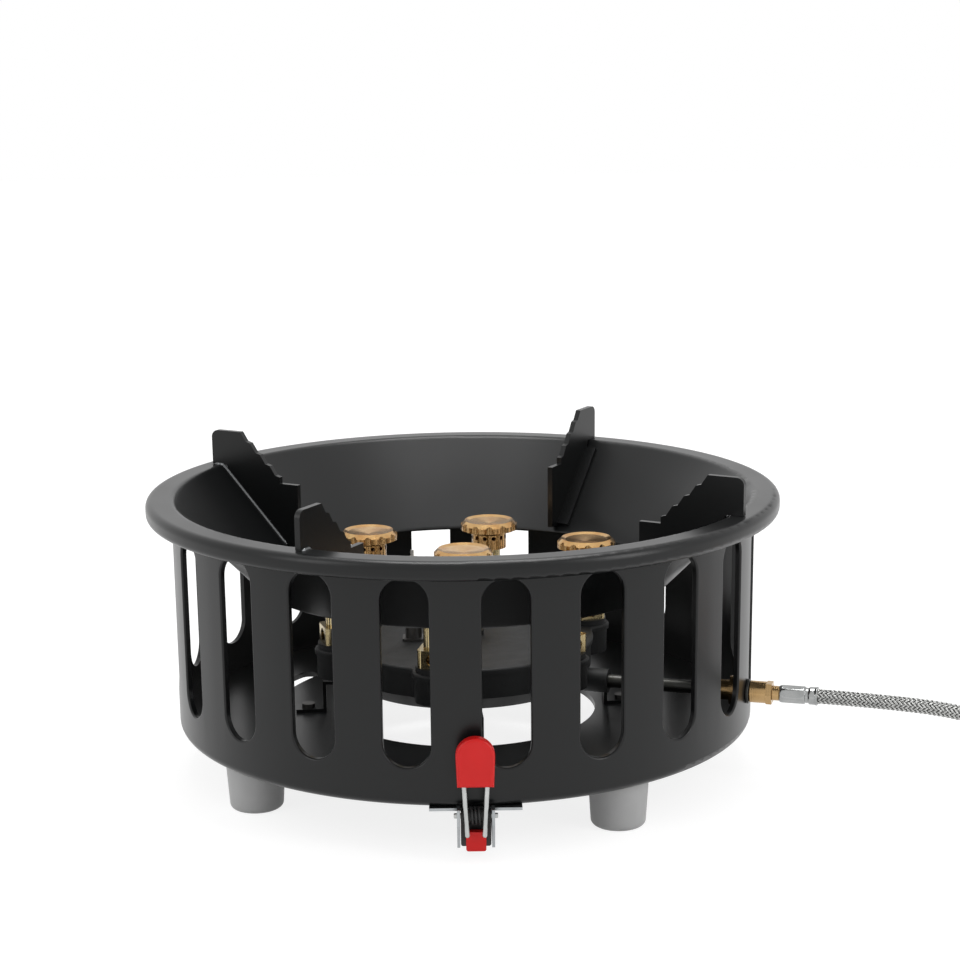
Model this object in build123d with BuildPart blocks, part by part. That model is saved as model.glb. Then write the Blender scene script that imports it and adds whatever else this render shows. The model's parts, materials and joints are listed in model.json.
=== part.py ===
from build123d import *

import os
from math import acos, asin, cos, degrees, hypot, pi, radians, sin, sqrt, tan

# A camping gas stove: a slotted wind shell on four feet, a conical bowl with four pot supports,
# a burner with seven brass heads, a lever igniter, and a braided hose with a screw-on valve.
# Millimetres, +Z up. The origin is on the stove's axis, on the surface that it stands on.
# Azimuths are in degrees from the front (-Y) towards the right (+X).

# Fits
slip_gap = 0.1
running_gap = 0.05
seat_gap = 0.1
curved_gap = 0.3

# Wind shell
shell_radius = 131.0
shell_wall = 2.6
shell_height = 98.0
shell_corner = 4.0
window_setback = 38.5
window_width = 9.0
window_spread = 50.0
window_azimuths = [-100.0, 170.0]
slot_count = 20
slot_width = 20.0
slot_low = 16.6
slot_top_margin = 2.3
slot_azimuth = 7.4
slot_edge_round = 0.8

# Rim and wind bowl
rim_overhang = 11.0
rim_width = 12.0
rim_height = 8.0
rim_overlap = 0.7
rim_outer_round = 3.0
rim_lower_round = 2.5
rim_inner_round = 2.0
bowl_taper = 36.5
bowl_depth = 40.0
bowl_sheet = 1.8

# Pot supports
support_count = 4
support_azimuth = -29.0
support_sheet = 2.5
support_setback = 6.0
support_rise = 16.5
support_flat = 16.5
support_slope = 43.0
support_slope_run = 21.5
support_ledge = 10.0
support_step = 3.0
support_corner = 3.5
tooth_count = 4
tooth_depth = 1.6
support_foot_width = 7.0
support_foot_sheet = 1.6

# Feet
foot_height = 22.0
foot_radius = 13.0
foot_base_radius = 11.6
foot_round = 2.5
foot_setback = 19.0
foot_azimuths = {"left": -54.9, "right": 35.1, "rear_right": 125.1, "rear_left": 215.1}
screw_radius = 1.5
screw_head_radius = 3.0
screw_head_height = 1.8
foot_screw_length = 16.0

# Burner legs
leg_sheet = 1.5
leg_width = 9.0
leg_setback = 4.0
leg_foot_length = 14.0
leg_top_length = 21.0
leg_screw_inset = 4.5
leg_azimuths = [-87.0, 3.0, 93.0, 183.0]

# Gas manifold
manifold_height = 17.2
manifold_inset = 2.0
manifold_taper = 6.0
manifold_depth = 17.3
manifold_wall = 2.5
petal_radius = 9.5
petal_depth = 11.0
petal_blend = 4.0
cover_lip = 1.0
cover_sheet = 2.5
boss_radius = 9.0
boss_height = 2.5
gas_hole_radius = 1.2

# Burners
burner_ring_count = 6
burner_inset = 33.5
burner_azimuth = -12.0
jet_hex_radius = 4.6
jet_hex_height = 3.5
jet_tip_height = 3.0
jet_tip_radius = 2.5
jet_end_radius = 1.2
jet_bore_radius = 0.4
block_width = 14.0
block_corner = 2.0
block_height = 8.0
block_bore_radius = 5.6
block_roof = 1.0
air_hole_radius = 2.75
tube_radius = 5.3
tube_bore_radius = 3.5
tube_height = 19.0
socket_depth = 2.5
head_neck_radius = 8.2
head_neck_height = 7.0
head_radius = 13.5
head_height = 13.3
head_wall = 1.9
port_count = 12
port_radius = 1.0
lobe_count = 12
lobe_radius = 1.9

# Ignition electrode
electrode_share = 0.33
electrode_azimuth = -71.0
ceramic_radius = 2.5
ceramic_length = 37.5
rod_radius = 0.7
rod_length = 38.5
rod_proud = 3.0
clip_sheet = 1.2
clip_base = 10.0
clip_collar_wall = 1.2
clip_collar_height = 8.0
ceramic_socket_radius = 2.0
ceramic_socket_reach = 5.0
ceramic_socket_height = 12.0
lead_radius = 1.25
lead_setback = 37.5
lead_straight = 11.0

# Igniter lever, seen from the front
lever_x = 3.7
pin_setout = 3.5
pin_drop = 1.8
pin_radius = 1.1
pin_length = 18.0
bracket_inner_width = 13.0
bracket_sheet = 1.2
bracket_web_width = 38.0
bracket_web_setback = 0.5
bracket_length = 24.5
bracket_front_reach = 3.6
bracket_drop = 17.0
bracket_screw_setback = 13.0
bush_radius = 2.5
bush_length = 12.4
wire_radius = 1.0
wire_tip_spacing = 7.0
wire_top_spacing = 11.0
wire_tip_drop = 10.0
wire_arch_rise = 26.0
grip_width = 15.9
grip_low_width = 14.9
grip_height = 20.8
grip_depth = 5.0
grip_rise = 12.0
grip_round = 1.2
spring_wire_radius = 0.5
spring_turns = 3
spring_gap = 0.5
spring_legs = (5.0, 2.6)
button_width = 8.2
button_drop = 16.4
button_height = 8.2
button_plate = 3.0
button_stem = 6.0
button_stem_length = 12.0
button_travel = 2.45
button_contact_gap = 0.3
piezo_width = 12.4
piezo_length = 25.0
piezo_front_gap = 0.6
piezo_nozzle_radius = 3.0

# Gas inlet
inlet_azimuth = 73.0
inlet_rise = 19.5
pipe_radius = 3.0
pipe_bore_radius = 2.0
pipe_start_inset = 2.0
pipe_depth = 6.0
socket_radius = 5.4
socket_proud = 10.0
fitting_stub_radius = 3.2
fitting_bore_radius = 1.6
fitting_flange_radius = 6.5
fitting_flange = 4.5
fitting_shank_radius = 4.5
fitting_shank = 9.0
stub_length = 7.0
locknut_radius = 5.5
locknut_thickness = 1.2

# Hose and its near end
hose_radius = 3.375
nut_round_radius = 4.9
nut_round_length = 7.4
nut_hex_radius = 5.4
nut_hex_length = 2.6
nut_edge = 0.4
nipple_collar = 1.4
nipple_neck_radius = 2.2
nipple_ring_radius = 3.3
nipple_ring = 3.0
ferrule_radius = 3.95
ferrule_length = 12.0
ferrule_ring_radius = 4.2
ferrule_ring = 5.0
ferrule_back = 2.5
crimp_count = 3
crimp_depth = 0.25

# Hose route: distance from the shell along the inlet's azimuth, and fall below the inlet
hose_falls = [(55.0, 0.0), (93.0, 1.9), (115.0, 8.7), (131.0, 19.5), (149.0, 30.5)]
touch_down_reach = 171.0
coil_reach_out = 189.0

# Coil
coil_radius = 41.0
coil_pitch = 7.3
coil_turns = 2
coil_steps = 10
coil_tail = 14.0
tie_sheet = 0.8
tie_width = 10.0
tie_gap = 0.4
tie_side_gap = 0.9
tie_turn = 223.0

# Screw-on valve at the hose's far end
valve_ferrule_start = 6.0
valve_ferrule_length = 16.0
valve_body_radius = 8.0
valve_body_length = 26.0
collar_radius = 11.7
collar_neck_radius = 7.0
collar_neck_length = 1.5
collar_length = 15.5
collar_bore_radius = 5.2
collar_bore_depth = 8.0
relief_radius = 5.8
relief_depth = 3.0
gas_pin_radius = 1.6
gas_pin_height = 2.6
seal_ring_radius = 4.2
seal_section_radius = 0.8
packing_hex_radius = 6.5
packing_length = 6.0
spindle_radius = 2.0
spindle_length = 20.0
knob_radius = 10.0
knob_length = 14.0
knob_gap = 0.5
knob_flutes = 9
knob_flute_radius = 2.4

# Radii that follow from the shell's
shell_inner = shell_radius - shell_wall
window_circle = shell_radius - window_setback
rim_radius = shell_radius + rim_overhang
bowl_top_radius = rim_radius - rim_width
bowl_mouth_radius = bowl_top_radius - bowl_taper
support_outer_radius = rim_radius - support_setback
support_flat_radius = support_outer_radius - support_flat
support_ledge_radius = support_flat_radius - support_slope_run
support_inner_radius = support_ledge_radius - support_ledge
foot_circle = shell_radius - foot_setback
burner_circle = bowl_mouth_radius - burner_inset
base_hole_radius = burner_circle
electrode_circle = head_radius + electrode_share * (burner_circle - 2 * head_radius)
manifold_radius = burner_circle - manifold_inset
manifold_base_radius = manifold_radius - manifold_taper
leg_web_radius = base_hole_radius + leg_setback
leg_screw_circle = leg_web_radius + leg_foot_length * 0.6
leg_top_circle = leg_web_radius - leg_top_length + leg_screw_inset
pipe_start_radius = manifold_base_radius - pipe_start_inset
socket_reach = manifold_radius + socket_proud
pin_y = -(shell_radius + pin_setout)
bracket_front_y = -(shell_radius - bracket_web_setback)
bracket_back_y = bracket_front_y + bracket_length
bracket_screw_y = -(shell_radius - bracket_screw_setback)
bracket_screw_offset = (bracket_web_width / 2 + bracket_inner_width / 2 + bracket_sheet) / 2
touch_down = shell_radius + touch_down_reach
coil_start = shell_radius + coil_reach_out

# Heights that follow from the feet's and the shell's
shell_bottom = foot_height
base_top = shell_bottom + shell_wall
shell_top = shell_bottom + shell_height
slot_high = shell_height - slot_top_margin
rim_bottom = shell_top - rim_overlap
rim_top = rim_bottom + rim_height
manifold_bottom = shell_bottom + manifold_height
cover_bottom = manifold_bottom + manifold_depth
cover_top = cover_bottom + cover_sheet
petal_bottom = cover_bottom - petal_depth
boss_top = cover_top + boss_height
block_top = boss_top + block_height
tube_top = block_top + tube_height
head_bottom = tube_top - socket_depth
pin_z = shell_bottom - pin_drop
bracket_low_z = shell_bottom - bracket_drop
wire_tip_z = shell_bottom - wire_tip_drop
wire_arch_z = shell_bottom + wire_arch_rise
grip_low_z = shell_bottom + grip_rise
button_low_z = shell_bottom - button_drop
inlet_z = shell_bottom + inlet_rise
hose_route = [(shell_radius + out, inlet_z - fall) for out, fall in hose_falls]
bracket_screw_spots = [
    (lever_x - bracket_screw_offset, bracket_screw_y),
    (lever_x + bracket_screw_offset, bracket_screw_y),
]


def polar(radius, azimuth, height=0.0):
    """Point at a distance from the axis, in a direction measured from the front."""
    angle = radians(azimuth)
    return Vector(radius * sin(angle), -radius * cos(angle), height)


def section_plane(azimuth):
    """Plane through the axis: local x points outward and local y points up."""
    outward = polar(1.0, azimuth)
    return Plane(origin=(0, 0, 0), x_dir=outward, z_dir=outward.cross(Vector(0, 0, 1)))


def outward_plane(radius, azimuth, height):
    """Plane that faces outward: local y points up and local z points away from the axis."""
    outward = polar(1.0, azimuth)
    return Plane(origin=polar(radius, azimuth, height), x_dir=Vector(0, 0, 1).cross(outward), z_dir=outward)


def level_plane(radius, azimuth, height):
    """Level plane at a point: local x points away from the axis."""
    return Plane(origin=polar(radius, azimuth, height), x_dir=polar(1.0, azimuth), z_dir=(0, 0, 1))


def route_radii(points):
    """Bend radius at each inner point of a route, as large as the runs beside it allow."""
    radii = []
    for before, corner, after in zip(points, points[1:], points[2:]):
        first = corner - before
        second = after - corner
        half_turn = radians(first.get_angle(second)) / 2
        radii.append(0.45 * min(first.length, second.length) / tan(half_turn))
    return radii


def biarc_middle(start, start_dir, end, end_dir):
    """Point and direction where two arcs meet that join one point and direction to another."""
    span = end - start
    reach = span.dot(start_dir + end_dir)
    spread = 2 * (1 - start_dir.dot(end_dir))
    arm = (sqrt(reach * reach + spread * span.dot(span)) - reach) / spread
    first = start + start_dir * arm
    second = end - end_dir * arm
    return (first + second) * 0.5, (second - first).normalized()


def finish(piece, name):
    """Label a finished piece and write its file."""
    piece.part.label = name
    export_step(piece.part, f"parts/{name}.step")


os.makedirs("parts", exist_ok=True)

# Wind shell: a thin drum with a wide hole in its base and a row of round-ended slots
slot_planes = [
    outward_plane(shell_inner - 2 * shell_wall, slot_azimuth + step * 360 / slot_count,
                  shell_bottom + (slot_low + slot_high) / 2)
    for step in range(slot_count)
]
with BuildPart() as slotted_shell:
    with BuildSketch(Plane.XZ) as shell_section:
        with BuildLine():
            Polyline(
                (base_hole_radius, shell_bottom),
                (shell_radius, shell_bottom),
                (shell_radius, shell_top),
                (shell_inner, shell_top),
                (shell_inner, base_top),
                (base_hole_radius, base_top),
                close=True,
            )
        make_face()
        fillet(shell_section.vertices().sort_by_distance((shell_radius, shell_bottom, 0))[0], shell_corner)
    revolve(axis=Axis.Z)
    with BuildSketch(*slot_planes):
        SlotOverall(slot_high - slot_low, slot_width, rotation=90)
    extrude(amount=5 * shell_wall, mode=Mode.SUBTRACT)
    slot_edges = slotted_shell.edges().filter_by(
        lambda edge: shell_bottom + slot_low - 1 < edge.center().Z < shell_bottom + slot_high + 1
        and hypot((edge @ 0).X, (edge @ 0).Y) > shell_radius - shell_wall / 4
    )
    fillet(slot_edges, slot_edge_round)
    with BuildSketch(outward_plane(shell_inner - 2 * shell_wall, inlet_azimuth, inlet_z)):
        Circle(fitting_stub_radius + curved_gap)
    extrude(amount=5 * shell_wall, mode=Mode.SUBTRACT)
    base_holes = [polar(foot_circle, a, shell_bottom) for a in foot_azimuths.values()]
    base_holes += [polar(leg_screw_circle, a, shell_bottom) for a in leg_azimuths]
    base_holes += [(x, y, shell_bottom) for x, y in bracket_screw_spots]
    with Locations(*base_holes):
        Cylinder(screw_radius + slip_gap, 3 * shell_wall, mode=Mode.SUBTRACT)
    with BuildSketch(Plane.XY.offset(shell_bottom)):
        for azimuth in window_azimuths:
            window = Edge.make_circle(
                window_circle,
                start_angle=azimuth - 90 - window_spread / 2,
                end_angle=azimuth - 90 + window_spread / 2,
            )
            SlotArc(window, window_width)
    extrude(amount=2 * shell_wall, both=True, mode=Mode.SUBTRACT)
finish(slotted_shell, "slotted_shell")

# Rim and conical bowl, one spun piece that seats on the shell's upper edge
bowl_low_z = rim_top - bowl_depth
bowl_spread = bowl_top_radius - bowl_mouth_radius
bowl_angle = acos(bowl_spread / hypot(bowl_spread, bowl_depth))
sheet_across = bowl_sheet / sin(bowl_angle)
bowl_inner_mouth = bowl_mouth_radius - sheet_across


def bowl_surface(height):
    """Radius of the bowl's inner face at a height."""
    share = (height - bowl_low_z) / bowl_depth
    return bowl_inner_mouth + share * (bowl_top_radius - bowl_inner_mouth)


with BuildPart() as wind_bowl:
    with BuildSketch(Plane.XZ) as bowl_section:
        with BuildLine():
            Polyline(
                (bowl_inner_mouth, bowl_low_z),
                (bowl_top_radius, rim_top),
                (rim_radius, rim_top),
                (rim_radius, rim_bottom),
                (shell_radius + curved_gap, rim_bottom),
                (shell_radius + curved_gap, shell_top),
                (bowl_surface(shell_top) + sheet_across, shell_top),
                (bowl_mouth_radius, bowl_low_z),
                close=True,
            )
        make_face()
        rim_corners = [
            ((rim_radius, rim_top, 0), rim_outer_round),
            ((rim_radius, rim_bottom, 0), rim_lower_round),
            ((bowl_top_radius, rim_top, 0), rim_inner_round),
        ]
        for corner, size in rim_corners:
            fillet(bowl_section.vertices().sort_by_distance(corner)[0], size)
    revolve(axis=Axis.Z)
finish(wind_bowl, "wind_bowl")

# Pot supports: upright plates welded to the rim and the bowl, with a toothed slope for round bases
support_top = rim_top + support_rise
slope_fall = tan(radians(support_slope))
ledge_top = support_top - slope_fall * (support_flat_radius - support_ledge_radius)
cone_normal = Vector(-sin(bowl_angle), cos(bowl_angle))
foot_line = [
    Vector(bowl_surface(height), height) + cone_normal * seat_gap
    for height in (bowl_low_z + 2 * bowl_sheet, rim_top - 2 * rim_inner_round)
]


def tooth_points():
    """Saw teeth down the slope, from the flat horn to the ledge."""
    run = (support_flat_radius - support_ledge_radius) / tooth_count
    points = []
    for tooth in range(tooth_count):
        radius = support_flat_radius - run * tooth
        height = support_top - slope_fall * run * tooth
        points.append((radius, height))
        points.append((radius - run * 0.55, height - slope_fall * run * 0.55 - tooth_depth))
    return points


for number in range(support_count):
    azimuth = support_azimuth + number * 360 / support_count
    with BuildPart() as pot_support:
        with BuildSketch(section_plane(azimuth)) as support_outline:
            with BuildLine():
                Polyline(
                    (support_outer_radius, rim_top + seat_gap),
                    (support_outer_radius, support_top),
                    *tooth_points(),
                    (support_ledge_radius, ledge_top),
                    (support_ledge_radius, ledge_top - support_step),
                    (support_inner_radius, ledge_top - support_step),
                    (support_inner_radius, foot_line[0].Y),
                    (foot_line[0].X, foot_line[0].Y),
                    (foot_line[1].X, foot_line[1].Y),
                    (bowl_top_radius - rim_inner_round, rim_top + seat_gap),
                    close=True,
                )
            make_face()
            fillet(support_outline.vertices().sort_by_distance((support_outer_radius, support_top, 0))[0],
                   support_corner)
        extrude(amount=support_sheet / 2, both=True)
        with BuildSketch(section_plane(azimuth)):
            with BuildLine():
                low = cone_normal * (curved_gap - seat_gap)
                high = cone_normal * (curved_gap - seat_gap + support_foot_sheet)
                corners = [foot_line[0] + low, foot_line[1] + low, foot_line[1] + high, foot_line[0] + high]
                Polyline(*[(corner.X, corner.Y) for corner in corners], close=True)
            make_face()
        extrude(amount=support_foot_width)
    finish(pot_support, f"pot_support_{number + 1}")

# Screws up through the igniter's bracket into the shell's base
with BuildPart() as bracket_screws:
    for x, y in bracket_screw_spots:
        with BuildSketch(Plane(origin=(x, y, shell_bottom - bracket_sheet))):
            Circle(screw_head_radius)
        extrude(amount=-screw_head_height)
        with BuildSketch(Plane(origin=(x, y, shell_bottom - bracket_sheet))):
            Circle(screw_radius)
        extrude(amount=bracket_sheet + shell_wall)
finish(bracket_screws, "bracket_screws")

# Feet, and the screws that hold them from above
for name, azimuth in foot_azimuths.items():
    with BuildPart() as foot:
        with BuildSketch(level_plane(foot_circle, azimuth, 0)):
            Circle(foot_base_radius)
        with BuildSketch(level_plane(foot_circle, azimuth, foot_height)):
            Circle(foot_radius)
        loft()
        fillet(foot.faces().sort_by(Axis.Z)[0].edges(), foot_round)
        with BuildSketch(level_plane(foot_circle, azimuth, foot_height)):
            Circle(screw_radius + slip_gap)
        extrude(amount=-foot_screw_length, mode=Mode.SUBTRACT)
    finish(foot, f"foot_{name}")

with BuildPart() as foot_screws:
    for azimuth in foot_azimuths.values():
        with BuildSketch(level_plane(foot_circle, azimuth, base_top)):
            Circle(screw_head_radius)
        extrude(amount=screw_head_height)
        with BuildSketch(level_plane(foot_circle, azimuth, base_top)):
            Circle(screw_radius)
        extrude(amount=-foot_screw_length)
finish(foot_screws, "foot_screws")

# Burner legs: bent strips from the shell's base up to the manifold
for number, azimuth in enumerate(leg_azimuths, start=1):
    with BuildPart() as burner_leg:
        with BuildSketch(section_plane(azimuth)):
            with BuildLine():
                Polyline(
                    (leg_web_radius, base_top),
                    (leg_web_radius + leg_foot_length, base_top),
                    (leg_web_radius + leg_foot_length, base_top + leg_sheet),
                    (leg_web_radius + leg_sheet, base_top + leg_sheet),
                    (leg_web_radius + leg_sheet, manifold_bottom),
                    (leg_web_radius - leg_top_length, manifold_bottom),
                    (leg_web_radius - leg_top_length, manifold_bottom - leg_sheet),
                    (leg_web_radius, manifold_bottom - leg_sheet),
                    close=True,
                )
            make_face()
        extrude(amount=leg_width / 2, both=True)
        screw_spots = [
            polar(leg_screw_circle, azimuth, base_top),
            polar(leg_top_circle, azimuth, manifold_bottom),
        ]
        with Locations(*screw_spots):
            Cylinder(screw_radius + slip_gap, 4 * leg_sheet, mode=Mode.SUBTRACT)
    finish(burner_leg, f"burner_leg_{number}")

screw_bite = manifold_wall - 2 * running_gap - slip_gap
with BuildPart() as leg_screws:
    for azimuth in leg_azimuths:
        with BuildSketch(level_plane(leg_screw_circle, azimuth, base_top + leg_sheet)):
            Circle(screw_head_radius)
        extrude(amount=screw_head_height)
        with BuildSketch(level_plane(leg_screw_circle, azimuth, base_top + leg_sheet)):
            Circle(screw_radius)
        extrude(amount=-leg_sheet - shell_wall)
        with BuildSketch(level_plane(leg_top_circle, azimuth, manifold_bottom - leg_sheet)):
            Circle(screw_head_radius)
        extrude(amount=-screw_head_height)
        with BuildSketch(level_plane(leg_top_circle, azimuth, manifold_bottom - leg_sheet)):
            Circle(screw_radius)
        extrude(amount=leg_sheet + screw_bite)
finish(leg_screws, "leg_screws")

# Gas manifold: a pan with a petal under each outer burner, closed by a cover with seven bosses
burner_spots = [Vector(0, 0, 0)]
burner_turns = [burner_azimuth]
for step in range(burner_ring_count):
    burner_turns.append(burner_azimuth + step * 360 / burner_ring_count)
    burner_spots.append(polar(burner_circle, burner_turns[-1]))

ring_spots = burner_spots[1:]
with BuildPart() as gas_manifold:
    with BuildSketch(Plane.XZ):
        with BuildLine():
            Polyline(
                (0, manifold_bottom),
                (manifold_base_radius, manifold_bottom),
                (manifold_radius, petal_bottom),
                (0, petal_bottom),
                close=True,
            )
        make_face()
    revolve(axis=Axis.Z)
    with BuildSketch(Plane.XY.offset(petal_bottom)) as petal_outline:
        Circle(manifold_radius)
        with Locations(*ring_spots):
            Circle(petal_radius)
        fillet(petal_outline.vertices(), petal_blend)
    extrude(amount=petal_depth)
    with BuildSketch(outward_plane(pipe_start_radius, inlet_azimuth, inlet_z)):
        Circle(socket_radius)
    extrude(amount=socket_reach - pipe_start_radius)
    with BuildSketch(Plane.XY.offset(manifold_bottom + 2 * manifold_wall)):
        Circle(manifold_radius - 1.5 * manifold_wall)
        with Locations(*ring_spots):
            Circle(petal_radius - manifold_wall)
    extrude(amount=manifold_depth, mode=Mode.SUBTRACT)
    with BuildSketch(outward_plane(pipe_start_radius + pipe_bore_radius, inlet_azimuth, inlet_z)):
        Circle(pipe_bore_radius)
    extrude(amount=socket_reach - pipe_start_radius - pipe_bore_radius, mode=Mode.SUBTRACT)
    with BuildSketch(level_plane(pipe_start_radius + pipe_bore_radius, inlet_azimuth, inlet_z)):
        Circle(pipe_bore_radius * 0.9)
    extrude(amount=manifold_depth / 2, mode=Mode.SUBTRACT)
    with BuildSketch(outward_plane(socket_reach - pipe_depth, inlet_azimuth, inlet_z)):
        Circle(pipe_radius + slip_gap)
    extrude(amount=pipe_depth, mode=Mode.SUBTRACT)
    with Locations(*[polar(leg_top_circle, a, manifold_bottom) for a in leg_azimuths]):
        Cylinder(screw_radius + slip_gap, 2 * (screw_bite + running_gap), mode=Mode.SUBTRACT)
finish(gas_manifold, "gas_manifold")

with BuildPart() as manifold_cover:
    with BuildSketch(Plane.XY.offset(cover_bottom)) as cover_outline:
        Circle(manifold_radius + cover_lip)
        with Locations(*ring_spots):
            Circle(petal_radius + cover_lip)
        fillet(cover_outline.vertices(), petal_blend)
    extrude(amount=cover_sheet)
    fillet(manifold_cover.edges().group_by(Axis.Z)[-1], cover_sheet * 0.4)
    with BuildSketch(Plane.XY.offset(cover_top)):
        with Locations(*burner_spots):
            Circle(boss_radius)
    extrude(amount=boss_height)
    with Locations(*[spot + Vector(0, 0, cover_top) for spot in burner_spots]):
        Cylinder(gas_hole_radius, 4 * (cover_sheet + boss_height), mode=Mode.SUBTRACT)
finish(manifold_cover, "manifold_cover")

# Gas jets, one on each boss
with BuildPart() as gas_jets:
    for spot in burner_spots:
        seat = Plane(origin=spot + Vector(0, 0, boss_top))
        with BuildSketch(seat):
            RegularPolygon(jet_hex_radius, 6)
        extrude(amount=jet_hex_height)
        with BuildSketch(seat.offset(jet_hex_height)):
            Circle(jet_tip_radius)
        with BuildSketch(seat.offset(jet_hex_height + jet_tip_height)):
            Circle(jet_end_radius)
        loft()
        with BuildSketch(seat):
            Circle(jet_bore_radius)
        extrude(amount=jet_hex_height + jet_tip_height, mode=Mode.SUBTRACT)
finish(gas_jets, "gas_jets")

# Mixing tubes: a square block with four air holes below a turned tube
for number, (spot, turn) in enumerate(zip(burner_spots, burner_turns), start=1):
    base = Plane(origin=spot + Vector(0, 0, boss_top), x_dir=polar(1.0, turn), z_dir=(0, 0, 1))
    with BuildPart() as mixing_tube:
        with BuildSketch(base):
            RectangleRounded(block_width, block_width, block_corner)
        extrude(amount=block_height)
        with BuildSketch(base.offset(block_height)):
            Circle(tube_radius)
        extrude(amount=tube_height)
        with BuildSketch(base):
            Circle(tube_bore_radius)
        extrude(amount=block_height + tube_height, mode=Mode.SUBTRACT)
        with BuildSketch(base):
            Circle(block_bore_radius)
        extrude(amount=block_height - block_roof, mode=Mode.SUBTRACT)
        for side in (base.x_dir, base.y_dir):
            with BuildSketch(Plane(origin=base.origin + Vector(0, 0, block_height / 2), z_dir=side)):
                Circle(air_hole_radius)
            extrude(amount=block_width, both=True, mode=Mode.SUBTRACT)
    finish(mixing_tube, f"mixing_tube_{number}")

# Burner heads: a ported neck under a dished cap with a lobed edge
with BuildPart() as head_form:
    with BuildSketch(Plane.XZ):
        with BuildLine():
            Polyline(
                (tube_radius + running_gap, 0),
                (head_neck_radius, 0),
                (head_neck_radius, head_neck_height),
                (head_radius, head_neck_height + head_wall),
                (head_radius, head_height - head_wall),
                (head_radius - head_wall, head_height),
                (head_radius - 2 * head_wall, head_height - head_wall * 0.4),
                (0, head_height - head_wall),
                (0, head_height - 2 * head_wall - running_gap),
                (head_neck_radius - head_wall, head_neck_height),
                (head_neck_radius - head_wall, socket_depth + running_gap + head_wall / 2),
                (tube_bore_radius, socket_depth + running_gap + head_wall / 2),
                (tube_bore_radius, socket_depth + running_gap),
                (tube_radius + running_gap, socket_depth + running_gap),
                close=True,
            )
        make_face()
    revolve(axis=Axis.Z)
    with PolarLocations(head_radius + lobe_radius / 2, lobe_count):
        Cylinder(lobe_radius, 4 * head_height, mode=Mode.SUBTRACT)
    port_height = head_neck_height - port_radius - head_wall / 4
    for port in range(port_count):
        with BuildSketch(outward_plane(tube_bore_radius, (port + 0.5) * 360 / port_count, port_height)):
            Circle(port_radius)
        extrude(amount=head_radius, mode=Mode.SUBTRACT)

for number, spot in enumerate(burner_spots, start=1):
    with BuildPart() as burner_head:
        with Locations(spot + Vector(0, 0, head_bottom)):
            add(head_form.part)
    finish(burner_head, f"burner_head_{number}")

# Ignition electrode: a ceramic rod in a clip on the manifold's cover
electrode_spot = polar(electrode_circle, electrode_azimuth)
electrode_seat = Plane(origin=electrode_spot + Vector(0, 0, cover_top))
lead_z = button_low_z + button_height * 0.78
lead_azimuth = burner_azimuth - 180 / burner_ring_count
lead_route = [
    Vector(lever_x, pin_y + lead_setback, lead_z),
    Vector(lever_x, pin_y + lead_setback + lead_straight, lead_z),
    polar(base_hole_radius + 14.0, lead_azimuth + 34.0, lead_z),
    polar(base_hole_radius + 2.0, lead_azimuth + 14.0, lead_z + 3.0),
    polar(base_hole_radius - 3.8, lead_azimuth, shell_bottom - 2.0),
    polar(base_hole_radius - 3.4, lead_azimuth - 3.0, shell_bottom + 8.0),
    polar(base_hole_radius + 4.4, lead_azimuth, shell_bottom + 20.0),
    polar(base_hole_radius + 8.0, lead_azimuth, shell_bottom + 36.0),
    polar(base_hole_radius + 2.0, lead_azimuth - 2.0, cover_top + 10.0),
    polar(base_hole_radius - 10.0, lead_azimuth - 8.0, cover_top + 14.0),
]
socket_z = cover_top + clip_sheet + ceramic_socket_height
socket_dir = (Vector(lead_route[-1].X, lead_route[-1].Y, 0) - electrode_spot).normalized()
socket_plane = Plane(origin=electrode_spot + Vector(0, 0, socket_z), z_dir=socket_dir)
lead_route.append(socket_plane.origin + socket_dir * (ceramic_socket_reach + 14.0))
lead_route.append(socket_plane.origin + socket_dir * ceramic_socket_reach)

with BuildPart() as electrode_clip:
    with BuildSketch(electrode_seat):
        RectangleRounded(clip_base, clip_base, clip_base / 5)
    extrude(amount=clip_sheet)
    with BuildSketch(electrode_seat.offset(clip_sheet)):
        Circle(ceramic_radius + running_gap + clip_collar_wall)
        Circle(ceramic_radius + running_gap, mode=Mode.SUBTRACT)
    extrude(amount=clip_collar_height)
finish(electrode_clip, "electrode_clip")

with BuildPart() as electrode_ceramic:
    with BuildSketch(electrode_seat.offset(clip_sheet)):
        Circle(ceramic_radius)
    extrude(amount=ceramic_length)
    fillet(electrode_ceramic.edges().group_by(Axis.Z)[-1], ceramic_radius * 0.3)
    with BuildSketch(socket_plane):
        Circle(ceramic_socket_radius)
    extrude(amount=ceramic_socket_reach)
    with BuildSketch(electrode_seat.offset(clip_sheet + ceramic_length)):
        Circle(rod_radius + running_gap)
    extrude(amount=-(rod_length - rod_proud), mode=Mode.SUBTRACT)
finish(electrode_ceramic, "electrode_ceramic")

with BuildPart() as electrode_rod:
    with BuildSketch(electrode_seat.offset(clip_sheet + ceramic_length + rod_proud)):
        Circle(rod_radius)
    extrude(amount=-rod_length)
finish(electrode_rod, "electrode_rod")

with BuildPart() as igniter_lead:
    with BuildLine() as lead_path:
        FilletPolyline(*lead_route, radius=route_radii(lead_route))
    with BuildSketch(Plane(origin=lead_path.line @ 0, z_dir=lead_path.line % 0)):
        Circle(lead_radius)
    sweep(path=lead_path.line)
finish(igniter_lead, "igniter_lead")

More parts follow.
